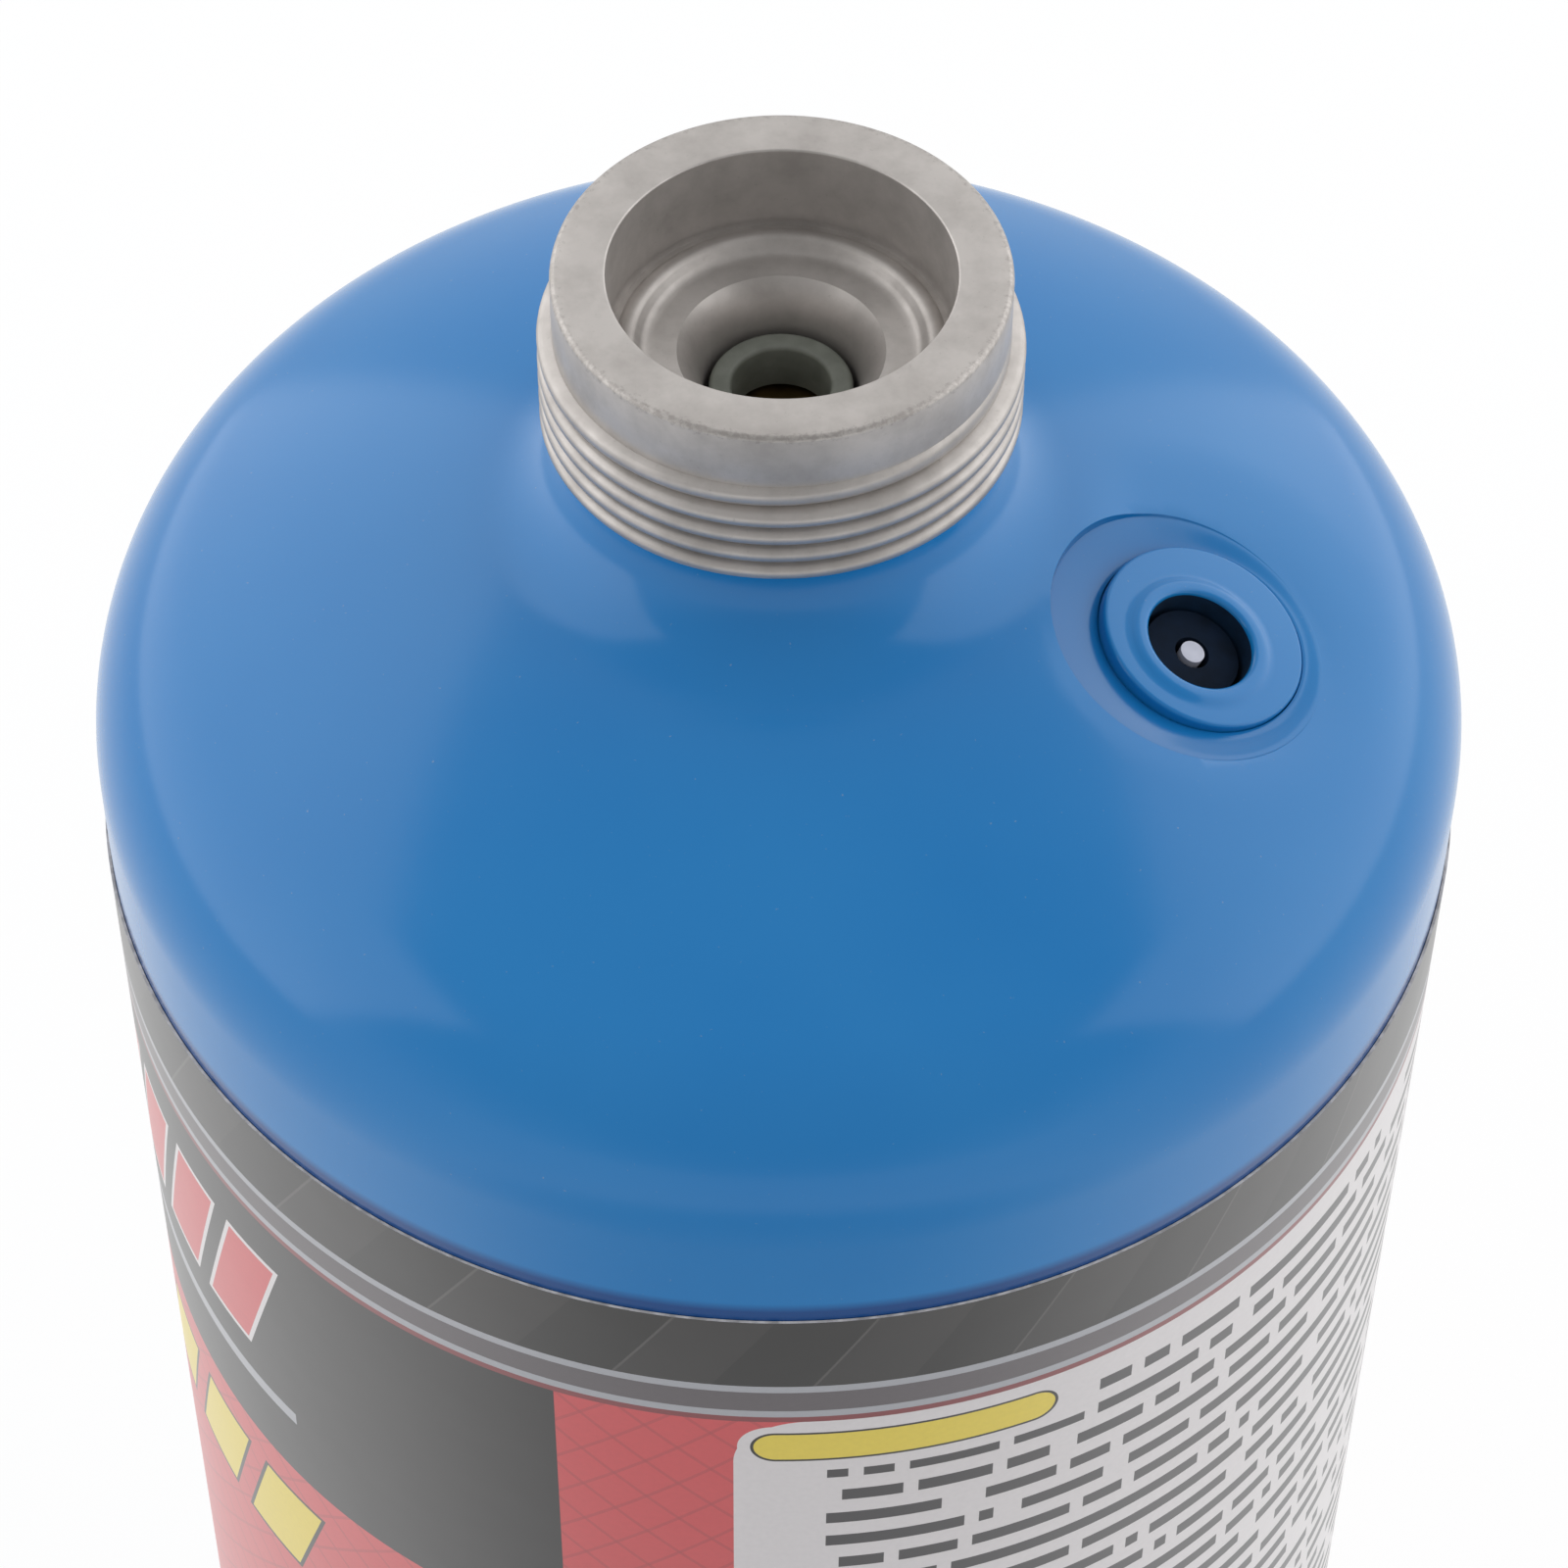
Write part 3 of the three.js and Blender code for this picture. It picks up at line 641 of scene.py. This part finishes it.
@dataclass
class CanShell:
    """The drawn steel can: dished base, straight side, rolled shoulder, crown, neck and relief recess."""

    relief: ReliefFrame
    enamel: Material
    shoulder_z: float = 218.0
    knuckle_radius: float = 11.0
    base_corner: float = 3.0
    foot_width: float = 2.1
    foot_height: float = 6.0
    dish_rise: float = 9.0
    neck_radius: float = 11.0
    neck_fillet: float = 6.0
    pocket_radius: float = 9.5
    pocket_z: float = 221.2
    rim_radius: float = 7.95
    cleared_radius: float = 8.7
    dimples: tuple[tuple[float, float, float, float], ...] = ((1.3, 0.0, 9.6, 0.7), (-0.3, 2.0, 11.8, 1.05))
    dimple_fade: Pair = (16.0, 4.0)
    moat_radius: float = 5.95
    moat_depths: Pair = (1.22, 1.85)
    crisp_side: float = 205.0
    crisp_step: float = 0.5
    # painted shade: how dark the moat's floor is painted, as a share of the rim's painted shade
    moat_shade_share: float = 0.75
    boss_gap: float = 0.04
    boss_radius: float = 5.75
    rim_step: float = 0.06
    rim_steps: int = 160
    side_rows: int = 12

    def outline(self) -> list[Pair]:
        """Outline from the middle of the base round the outside to the floor of the neck pocket."""
        low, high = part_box("can_body")
        radius = (high[0] - low[0]) / 2 / MM
        top = high[2] / MM
        crown = self.relief.crown_radius
        centre_z = self.relief.crown_centre_z
        foot = radius - self.base_corner
        dish_edge = foot - self.foot_width
        dish = (dish_edge ** 2 + self.dish_rise ** 2) / (2 * self.dish_rise)
        dish_angle = math.degrees(math.asin(dish_edge / dish))
        knuckle_r = radius - self.knuckle_radius
        knuckle_angle = math.degrees(math.atan2(self.shoulder_z - centre_z, knuckle_r))
        fillet_r = self.neck_radius + self.neck_fillet
        fillet_z = centre_z + math.sqrt((crown + self.neck_fillet) ** 2 - fillet_r ** 2)
        fillet_angle = math.degrees(math.atan2(fillet_z - centre_z, fillet_r))
        side = self.shoulder_z - self.base_corner
        wall = [(radius, self.base_corner + side * i / self.side_rows) for i in range(1, self.side_rows)]
        return [
            *arc(0, self.foot_height + self.dish_rise - dish, dish, 90, 90 - dish_angle, 12),
            (dish_edge, 0.5),
            *arc(dish_edge + 0.5, 0.5, 0.5, 180, 270, 4)[1:],
            *arc(foot, self.base_corner, self.base_corner, -90, 0, 10),
            *wall,
            *arc(knuckle_r, self.shoulder_z, self.knuckle_radius, 0, knuckle_angle, 18),
            *arc(0, centre_z, crown, knuckle_angle, fillet_angle, 34)[1:],
            *arc(fillet_r, fillet_z, self.neck_fillet, 180 + fillet_angle, 180, 14)[1:],
            (self.neck_radius, top - 0.4),
            (self.neck_radius - 0.12, top - 0.12),
            (self.neck_radius - 0.4, top),
            (self.pocket_radius, top),
            (self.pocket_radius, self.pocket_z),
            (0, self.pocket_z),
        ]

    def crispness(self, angle: float) -> float:
        """Share of the crisp form at an angle round the valve's axis, in radians."""
        return 0.5 + 0.5 * math.cos(angle - math.radians(self.crisp_side))

    def moat_floor(self, angle: float) -> float:
        """Depth of the moat's floor at an angle round the valve's axis, in millimetres."""
        soft, crisp = self.moat_depths
        return soft + (crisp - soft) * self.crispness(angle)

    def moat_share(self, way: float, angle: float) -> float:
        """How far the moat has sunk from its rim to its floor.

        Args:
            way: Share of the way from the rim to the boss.
            angle: Angle round the valve's axis, in radians.

        Returns:
            Share of the depth: a crisp step at the rim on the neck's side, a soft slope on the other.
        """
        crisp = self.crispness(angle)
        step = min(1.0, way / self.rim_step)
        hard = self.crisp_step * step * step * (3 - 2 * step) + (1 - self.crisp_step) * way
        soft = way * way * (3 - 2 * way)
        return crisp * hard + (1 - crisp) * soft

    def build(self) -> None:
        """Spins the can, opens its crown, and fills in the recess of the relief valve."""
        bm = turned(self.outline(), ROUND_STEPS)
        # attribute of painted shade for the recess, read by the enamel
        bm.verts.layers.float.new("recess_shade")
        place = self.relief.matrix()
        inverse = place.inverted()
        shift = Vector((*self.relief.rim_shift, 0)) * MM

        def reach(point: Vector) -> float:
            local = inverse @ point - shift
            return math.hypot(local.x, local.y) / MM

        crown_z = self.shoulder_z * MM
        cleared = [
            face for face in bm.faces if face.calc_center_median().z > crown_z
            and reach(face.calc_center_median()) < self.cleared_radius]
        bmesh.ops.delete(bm, geom=cleared, context="FACES")
        border = [edge for edge in bm.edges if edge.is_boundary]
        ring = bmesh.ops.create_circle(
            bm, cap_ends=False, segments=self.rim_steps, radius=self.rim_radius * MM,
            matrix=Matrix.Translation(shift))
        for vert in ring["verts"]:
            vert.co.z = -self.relief.drop(math.hypot(vert.co.x, vert.co.y) / MM) * MM
            vert.co = place @ vert.co
        loop = [edge for edge in bm.edges if edge.is_wire]
        axis = (place.to_3x3() @ Vector((0, 0, 1))).normalized()
        bmesh.ops.triangle_fill(bm, use_beauty=True, use_dissolve=False, edges=border + loop, normal=axis)
        self.press_dimples(bm, place)
        self.sink_recess(bm, place, ring["verts"])
        bmesh.ops.remove_doubles(bm, verts=bm.verts, dist=MERGE_DISTANCE)
        bmesh.ops.recalc_face_normals(bm, faces=bm.faces)
        finish("enamelled_can", bm, [self.enamel], ["can_body"])

    def press_dimples(self, bm: BMesh, place: Matrix) -> None:
        """Presses the shallow dimples round the recess, which fade out towards the neck.

        Args:
            bm: The can's mesh.
            place: Matrix of the relief valve's frame.
        """
        inverse = place.inverted()
        axis = (place.to_3x3() @ Vector((0, 0, 1))).normalized()
        foot, width = self.dimple_fade
        for vert in bm.verts:
            if vert.co.z < self.shoulder_z * MM:
                continue
            local = inverse @ vert.co / MM
            fade = (math.hypot(vert.co.x, vert.co.y) / MM - foot) / width
            fade = min(1.0, max(0.0, fade))
            sunk = 0.0
            for along, across, radius, depth in self.dimples:
                share = math.hypot(local.x - along, local.y - across) / radius
                sunk += depth * (1 - share * share) ** 2 if share < 1 else 0.0
            vert.co -= axis * (sunk * fade * fade * (3 - 2 * fade) * MM)

    def sink_recess(self, bm: BMesh, place: Matrix, rim: list[BMVert]) -> None:
        """Extrudes the rim inwards and down, ring by ring, and closes the pocket under the bushing.

        Args:
            bm: The can's mesh.
            place: Matrix of the relief valve's frame.
            rim: The rim's vertices, with faces on their outer side only.
        """
        inverse = place.inverted()
        recess_shade = bm.verts.layers.float["recess_shade"]
        rim_set = set(rim)
        edges = [edge for edge in bm.edges if all(vert in rim_set for vert in edge.verts)]
        rim_shift = Vector((*self.relief.rim_shift, 0))
        boss_shift = Vector((*self.relief.boss_shift, 0))
        ways = [0.01, 0.02, 0.03, 0.045, 0.06, 0.1, 0.18, 0.28, 0.4, 0.52, 0.64, 0.76, 0.87, 0.95, 1.0]
        previous = 0.0
        for way in ways:
            radius = self.rim_radius + (self.moat_radius - self.rim_radius) * way
            old_centre = rim_shift.lerp(boss_shift, previous)
            centre = rim_shift.lerp(boss_shift, way)
            edges, verts = self.extrude_ring(bm, edges)
            for vert in verts:
                local = inverse @ vert.co / MM
                angle = math.atan2(local.y - old_centre.y, local.x - old_centre.x)
                before = self.moat_share(previous, angle)
                share = (self.moat_share(way, angle) - before) / (1 - before)
                spot = centre + Vector((math.cos(angle), math.sin(angle), 0)) * radius
                spot.z = local.z + (-self.moat_floor(angle) - local.z) * share
                vert.co = place @ (spot * MM)
                # painted shade: full at the rim on the crisp side, a share of it over the moat's floor,
                # fading to none on the soft side
                vert[recess_shade] = self.crispness(angle) * (1.0 if way < 0.1 else self.moat_shade_share)
            previous = way
        wall = self.boss_radius + self.boss_gap
        for radius, deeper in ((wall + 0.03, 0.05), (wall, 0.2), (wall, 1.0), (wall, 14.0)):
            edges, verts = self.extrude_ring(bm, edges)
            for vert in verts:
                local = inverse @ vert.co / MM - boss_shift
                angle = math.atan2(local.y, local.x)
                spot = boss_shift + Vector((math.cos(angle), math.sin(angle), 0)) * radius
                spot.z = -self.moat_floor(angle) - deeper
                vert.co = place @ (spot * MM)
        bmesh.ops.edgeloop_fill(bm, edges=edges)

    def extrude_ring(self, bm: BMesh, edges: list[BMEdge]) -> tuple[list[BMEdge], list[BMVert]]:
        """Extrudes a ring of edges in place.

        Args:
            bm: The mesh.
            edges: The ring.

        Returns:
            The new ring's edges and vertices.
        """
        made = bmesh.ops.extrude_edge_only(bm, edges=edges)["geom"]
        verts = [item for item in made if isinstance(item, BMVert)]
        vert_set = set(verts)
        ring = [item for item in made if isinstance(item, BMEdge) and all(
            vert in vert_set for vert in item.verts)]
        return ring, verts


@dataclass
class PaperLabel:
    """The paper wrap: a thin sleeve whose end is lapped at the back, printed through its own map."""

    lap_angle: float = 135.0
    lap_width: float = 9.0
    thickness: float = 0.15
    shortened: float = 1.0
    gap: float = 0.03
    rows: int = 24

    def build(self) -> None:
        """Spins the sleeve, raises the lap, and maps the print in millimetres."""
        low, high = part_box("label_sleeve")
        bottom, top = low[2] / MM, high[2] / MM - self.shortened
        can_low, can_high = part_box("can_body")
        inner = (can_high[0] - can_low[0]) / 2 / MM + self.gap
        outer = inner + self.thickness
        heights = [bottom + (top - bottom) * i / self.rows for i in range(self.rows + 1)]
        outline = [(outer, z) for z in heights] + [(inner, z) for z in reversed(heights)]
        bm = turned(outline, ROUND_STEPS, closed=True)
        wrap = bm.loops.layers.uv.new("wrap")
        half_lap = self.lap_width / outer / 2
        for vert in bm.verts:
            angle = math.atan2(vert.co.y, vert.co.x) - math.radians(self.lap_angle)
            angle = (angle + math.pi) % FULL_TURN - math.pi
            if abs(angle) < half_lap and math.hypot(vert.co.x, vert.co.y) > (inner + outer) / 2 * MM:
                vert.co.x *= 1 + self.thickness / outer
                vert.co.y *= 1 + self.thickness / outer
        for face in bm.faces:
            face.material_index = 1 if abs(face.normal.z) > 0.9 else 0
            centre = face.calc_center_median()
            middle = self.angle_from_front(centre)
            for loop in face.loops:
                angle = self.angle_from_front(loop.vert.co)
                angle += FULL_TURN * round((middle - angle) / FULL_TURN)
                loop[wrap].uv = (angle * outer, top - loop.vert.co.z / MM)
        paper = PrintedPaper(top - bottom).build()
        finish("paper_wrap", bm, [paper, PAPER_EDGE.build()], ["label_sleeve"])

    def angle_from_front(self, point: Vector) -> float:
        """Angle of a point round the can from the front, to the right, in radians."""
        angle = math.atan2(point.x, -point.y)
        seam = math.radians(self.lap_angle + 90)
        return angle if angle < seam else angle - FULL_TURN


@dataclass
class ValveCollar:
    """The turned bushing: plain lead-in and male thread outside, cup, bead and throat inside."""

    steel: Material
    core_radius: float = 11.9
    shank_radius: float = 9.2
    shank_z: float = 221.5
    cup_radius: float = 9.03
    cup_depth: float = 5.2
    bead_radius: float = 0.66
    bead_rise: float = 0.3
    bead_centre_r: float = 8.06
    floor_dish: float = 0.42
    funnel_edge: float = 5.45
    funnel_angle: float = 133.0
    throat_radius: float = 4.1
    inlet_radius: float = 2.4
    floor_thickness: float = 1.5
    edge_widths: tuple[float, ...] = (0.28, 0.12, 0.2)
    thread_depth: float = 0.8
    thread_pitch: float = 1.27
    thread_flank: tuple[Pair, ...] = ((0.55, -0.46), (0.84, -0.36), (0.97, -0.22), (1.0, -0.06))
    thread_turns: int = 5
    thread_run_in: float = 0.5
    thread_steps: int = 120

    def build(self) -> None:
        """Spins the bushing, rounds its edges and winds the thread round it."""
        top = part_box("valve_bushing")[1][2] / MM
        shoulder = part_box("can_body")[1][2] / MM + 0.3
        floor = top - self.cup_depth
        lean = math.radians(self.funnel_angle)
        curve = (self.funnel_edge - self.throat_radius) / (1 + math.cos(lean))
        curve_z = floor - self.floor_dish - curve * math.sin(lean)
        foot_r = self.bead_centre_r - self.bead_radius
        bead_z = floor + self.bead_rise - self.bead_radius
        bead_start = math.degrees(math.asin((self.bead_radius - self.bead_rise) / self.bead_radius))
        lead_in_z = shoulder + self.thread_turns * self.thread_pitch
        outline = [
            (self.shank_radius, self.shank_z),
            (self.shank_radius, shoulder),
            (self.core_radius, shoulder),
            (self.core_radius, lead_in_z),
            (self.core_radius, top),
            (self.cup_radius, top),
            (self.cup_radius, floor + 0.2),
            (self.cup_radius - 0.1, floor - 0.02),
            *arc(self.bead_centre_r, bead_z, self.bead_radius, bead_start, 168 - bead_start, 12),
            (foot_r - 0.02, floor - 0.18),
            (foot_r - 0.2, floor - 0.33),
            (foot_r - 0.42, floor - 0.4),
            (foot_r - 0.7, floor - self.floor_dish),
            (self.funnel_edge + 0.04, floor - self.floor_dish),
            *arc(self.throat_radius + curve, curve_z, curve, self.funnel_angle, 180, 16),
            (self.throat_radius, self.shank_z + self.floor_thickness),
            (self.inlet_radius, self.shank_z + self.floor_thickness),
            (self.inlet_radius, self.shank_z),
        ]
        bm = turned(outline, ROUND_STEPS, closed=True)
        corners = [(self.core_radius, top), (self.cup_radius, top), (self.core_radius, shoulder)]
        for corner, width in zip(corners, self.edge_widths):
            round_rings(bm, [corner], width)
        self.wind_thread(bm, shoulder)
        finish("threaded_collar", bm, [self.steel], ["valve_bushing"])

    def wind_thread(self, bm: BMesh, shoulder: float) -> None:
        """Winds the thread round the core, from its shallow start down to where the end face cuts it.

        A bar of the thread's section is made straight along Y first, one millimetre for each turn.

        Args:
            bm: The bushing's mesh, which gets the thread as a closed ridge sunk into its core.
            shoulder: Height of the bushing's end face, in millimetres.
        """
        root = self.thread_pitch / 2 - 0.03
        lower = [(-0.3, -root - 0.06), (0.0, -root)]
        lower += [(share * self.thread_depth, height) for share, height in self.thread_flank]
        section = lower + [(radial, -height) for radial, height in reversed(lower)]
        bar = bmesh.new()
        face = bar.faces.new([bar.verts.new((r, 0, z)) for r, z in section])
        count = self.thread_turns * self.thread_steps
        bmesh.ops.spin(
            bar, geom=[face, *face.edges, *face.verts], cent=(0, 0, 0), axis=(0, 1, 0),
            dvec=(0, 1 / self.thread_steps, 0), angle=0, steps=count)
        bmesh.ops.holes_fill(bar, edges=[edge for edge in bar.edges if edge.is_boundary], sides=0)
        top = shoulder + self.thread_turns * self.thread_pitch - self.thread_pitch / 2
        for vert in bar.verts:
            radial, turns, height = vert.co
            floor = shoulder - top + turns * self.thread_pitch
            if height < floor:
                radial, height = min(radial, self.flank(section, floor)), floor
            radial = radial * min(1.0, turns / self.thread_run_in) if radial > 0 else radial
            angle = -FULL_TURN * turns
            radius = (self.core_radius + radial) * MM
            vert.co = (
                radius * math.cos(angle), radius * math.sin(angle),
                (top + height - turns * self.thread_pitch) * MM)
        bmesh.ops.dissolve_degenerate(bar, dist=MERGE_DISTANCE, edges=bar.edges)
        bmesh.ops.recalc_face_normals(bar, faces=bar.faces)
        wound = bpy.data.meshes.new("wound_thread")
        bar.to_mesh(wound)
        bar.free()
        bm.from_mesh(wound)
        bpy.data.meshes.remove(wound)

    def flank(self, section: list[Pair], height: float) -> float:
        """How far the thread's section stands out at a height.

        Args:
            section: Points of the section as (stand-out, height), in millimetres, from its lower end up.
            height: Height above the section's middle, in millimetres.

        Returns:
            The stand-out, in millimetres.
        """
        for (low_r, low_z), (high_r, high_z) in zip(section, section[1:]):
            if low_z <= height <= high_z:
                return low_r + (high_r - low_r) * (height - low_z) / (high_z - low_z)
        return section[-1][0]


@dataclass
class ValveCore:
    """What shows and what works inside the throat: seat seal, housing, pin and their seals."""

    hole_radius: float = 2.6
    edge_width: float = 0.28

    def build(self) -> None:
        """Builds the seat seal, and dresses the pieces under it."""
        seal_low, seal_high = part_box("seat_seal")
        outer = seal_high[0] / MM
        hole = self.hole_radius
        bottom, top = seal_low[2] / MM, seal_high[2] / MM
        ring = turned([(hole, bottom), (outer, bottom), (outer, top), (hole, top)], SMALL_STEPS, True)
        round_rings(ring, [(outer, top), (hole, top)], self.edge_width, 4)
        finish("throat_seal", ring, [NITRILE_SEAL.build()], ["seat_seal"])
        brass = TURNED_BRASS.build()
        for node in ("core_housing", "spring_retainer", "valve_pin"):
            dress(node, brass)
        dress("poppet_seal", BLACK_NITRILE.build())
        dress("core_spring", SPRING_WIRE.build())


@dataclass
class ReliefValve:
    """The relief valve's bushing, gland and stem, in the recess of the crown."""

    relief: ReliefFrame
    enamel: Material
    radius: float = 5.75
    top: float = -1.06
    shoulder_radius: float = 3.95
    shoulder_rise: float = 0.26
    bore_radius: float = 3.0
    floor: float = -11.84
    bottom: float = -15.84
    orifice: float = 1.0
    enamelled_mouth: float = 0.25

    def build(self) -> None:
        """Builds the enamelled bushing and dresses what lies in its bore."""
        lip = self.top + self.shoulder_rise
        outline = [
            (self.orifice, self.bottom),
            (self.radius, self.bottom),
            (self.radius, self.top),
            (self.shoulder_radius + 0.45, self.top),
            (self.shoulder_radius + 0.2, self.top + 0.03),
            (self.shoulder_radius, self.top + 0.12),
            (self.shoulder_radius - 0.2, lip - 0.04),
            (self.shoulder_radius - 0.4, lip),
            (self.bore_radius, lip),
            (self.bore_radius, self.floor),
            (self.orifice, self.floor),
        ]
        bm = turned(outline, SMALL_STEPS * 2, closed=True)
        round_rings(bm, [(self.radius, self.top)], 0.22, 4)
        round_rings(bm, [(self.bore_radius, lip)], 0.3, 4)
        # painted shade: the bore's wall below its enamelled mouth takes the dark finish of the second slot
        for face in bm.faces:
            centre = face.calc_center_median() / MM
            deep = centre.z < lip - self.enamelled_mouth
            inside = math.hypot(centre.x, centre.y) < self.bore_radius + 0.05
            face.material_index = 1 if deep and inside else 0
        for vert in bm.verts:
            if math.hypot(vert.co.x, vert.co.y) > (self.shoulder_radius + 0.6) * MM:
                vert.co += Vector((*self.relief.boss_shift, 0)) * MM
        bmesh.ops.transform(bm, matrix=self.relief.matrix(), verts=bm.verts)
        finish("relief_boss", bm, [self.enamel, BORE_WALL_SHADE.build()], ["relief_bushing"])
        # the gland's finish is dark nylon and partly painted shade of the bore
        dress("relief_retainer", NYLON_AND_BORE_SHADE.build())
        dress("relief_stem", PALE_ACETAL.build())
        dress("relief_seal", BLACK_NITRILE.build())
        dress("relief_spring", SPRING_WIRE.build())


def dress(node: str, material: Material) -> None:
    """Gives a node of the frame that keeps its shape a finished material.

    Args:
        node: Name of the node.
        material: Its material.
    """
    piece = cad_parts[node]
    piece.data.materials.clear()
    piece.data.materials.append(material)
    log.info("%s: kept, in %s", node, material.name)


@dataclass
class Studio:
    """Plain pale floor, white surround, and a large softbox on each side."""

    floor_size: float = 6.0
    fill: float = 0.72
    overhead: float = 0.45
    shade: float = 0.45
    shade_y: float = -0.3
    aim: tuple[float, float, float] = (0.0, 0.0, 0.22)
    lamps: tuple[tuple[str, tuple[float, float, float], Pair, float], ...] = (
        ("left_softbox", (-0.85, 0.28, 0.66), (1.9, 1.15), 7.4),
        ("right_softbox", (0.85, 0.28, 0.66), (1.9, 1.15), 7.0),
    )

    def build(self) -> None:
        """Makes the floor, the world and the lamps."""
        self.make_floor()
        self.make_world()
        for name, place, size, power in self.lamps:
            lamp = bpy.data.lights.new(name, "AREA")
            lamp.shape = "RECTANGLE"
            lamp.size, lamp.size_y = size
            lamp.energy = power
            holder = bpy.data.objects.new(name, lamp)
            holder.location = place
            holder.rotation_euler = (Vector(self.aim) - Vector(place)).to_track_quat("-Z", "Y").to_euler()
            bpy.context.scene.collection.objects.link(holder)
            log.info("lamp %s at %s W", name, power)

    def make_floor(self) -> None:
        """Makes the floor, which is white to the camera and still takes the object's shadow."""
        bm = bmesh.new()
        bmesh.ops.create_grid(bm, x_segments=1, y_segments=1, size=self.floor_size)
        mesh = bpy.data.meshes.new("studio_floor")
        bm.to_mesh(mesh)
        bm.free()
        shader = Shader("white_floor")
        paths = shader.add("LightPath")
        place = shader.add("TexCoord").outputs["Object"]
        # painted shade: what gloss sees of the floor is dimmed to the shade strength within 0.1 m of a spot
        # in front of the can, fading out by 0.3 m
        ahead = shader.add("VectorMath", {0: place, 1: (0.0, self.shade_y, 0.0)}, operation="DISTANCE")
        shade = shader.add(
            "MapRange", {0: ahead, 1: 0.1, 2: 0.3, 3: self.shade, 4: 1.0}, interpolation_type="SMOOTHSTEP")
        strength = shader.add("Math", {0: shade, 1: paths.outputs["Is Camera Ray"]}, operation="MAXIMUM")
        matt = shader.add("BsdfDiffuse", {"Color": linear("f2f2f2")})
        glow = shader.add("Emission", {"Color": linear("ffffff"), "Strength": strength})
        camera = shader.add("Math", {0: paths.outputs["Is Camera Ray"], 1: 0.85}, operation="MULTIPLY")
        seen = shader.add("Math", {0: camera, 1: paths.outputs["Is Glossy Ray"]}, operation="MAXIMUM")
        mesh.materials.append(shader.close(shader.add("MixShader", {0: seen, 1: matt, 2: glow})))
        floor = bpy.data.objects.new("studio_floor", mesh)
        bpy.context.scene.collection.objects.link(floor)

    def make_world(self) -> None:
        """Fills the set softly from all round and shows a white surround to camera, metal and glass.

        What gloss sees is white at the sides and behind, and grey above the camera, as in a studio
        whose ceiling and camera side are not lit.
        """
        world = bpy.data.worlds.new("white_surround")
        world.use_nodes = True
        room = NodeTree(world.node_tree, "ShaderNodeOutputWorld")
        paths = room.add("LightPath")
        way = room.add("TexCoord").outputs["Generated"]
        above = room.add("VectorMath", {0: way, 1: (0.0, -0.62, 0.78)}, operation="DOT_PRODUCT")
        wall = room.add(
            "MapRange", {0: above, 1: 0.3, 2: 0.8, 3: 1.0, 4: self.overhead},
            interpolation_type="SMOOTHSTEP")
        mirrored = room.add("Background", {"Color": linear("ffffff"), "Strength": wall})
        white = room.add("Background", {"Color": linear("ffffff"), "Strength": 1.0})
        soft = room.add("Background", {"Color": linear("f6f8fb"), "Strength": self.fill})
        through = room.add(
            "Math", {0: paths.outputs["Is Camera Ray"], 1: paths.outputs["Is Transmission Ray"]},
            operation="MAXIMUM")
        glossy = room.add("MixShader", {0: paths.outputs["Is Glossy Ray"], 1: soft, 2: mirrored})
        room.close(room.add("MixShader", {0: through, 1: glossy, 2: white}))
        bpy.context.scene.world = world


@dataclass
class PhotoCamera:
    """The camera of the photograph, fitted to the rings of the thread, the collar and the wrap."""

    focal_px: float = 5043.0
    frame_px: float = 1600.0
    sensor_mm: float = 36.0
    pitch: float = 50.0
    pan: float = -0.1
    roll: float = -0.46
    place_mm: tuple[float, float, float] = (0.0, -182.3, 427.0)

    def build(self) -> None:
        """Makes the camera and gives it to the scene."""
        pitch, pan, roll = (math.radians(value) for value in (self.pitch, self.pan, self.roll))
        turn = Matrix.Rotation(pan, 3, "Z")
        forward = turn @ Vector((0, math.cos(pitch), -math.sin(pitch)))
        right = turn @ Vector((1, 0, 0))
        down = turn @ Vector((0, -math.sin(pitch), -math.cos(pitch)))
        rolled_right = math.cos(roll) * right + math.sin(roll) * down
        rolled_down = -math.sin(roll) * right + math.cos(roll) * down
        axes = Matrix((rolled_right, -rolled_down, -forward)).transposed().to_4x4()
        lens = bpy.data.cameras.new("photo_camera")
        lens.sensor_width = self.sensor_mm
        lens.lens = self.focal_px * self.sensor_mm / self.frame_px
        lens.clip_start = 0.01
        lens.clip_end = 50.0
        camera = bpy.data.objects.new("photo_camera", lens)
        camera.matrix_world = Matrix.Translation(Vector(self.place_mm) * MM) @ axes
        bpy.context.scene.collection.objects.link(camera)
        bpy.context.scene.camera = camera


def main() -> None:
    """Builds the studio, the camera and every piece."""
    logging.basicConfig(level=logging.INFO, format="%(name)s: %(message)s")
    bpy.context.scene.view_settings.view_transform = "Standard"
    PhotoCamera().build()
    Studio().build()
    enamel = BakedEnamel().build()
    relief = ReliefFrame()
    CanShell(relief, enamel).build()
    PaperLabel().build()
    ValveCollar(ZincPlatedSteel().build()).build()
    ValveCore().build()
    ReliefValve(relief, enamel).build()


if __name__ == "__main__":
    main()
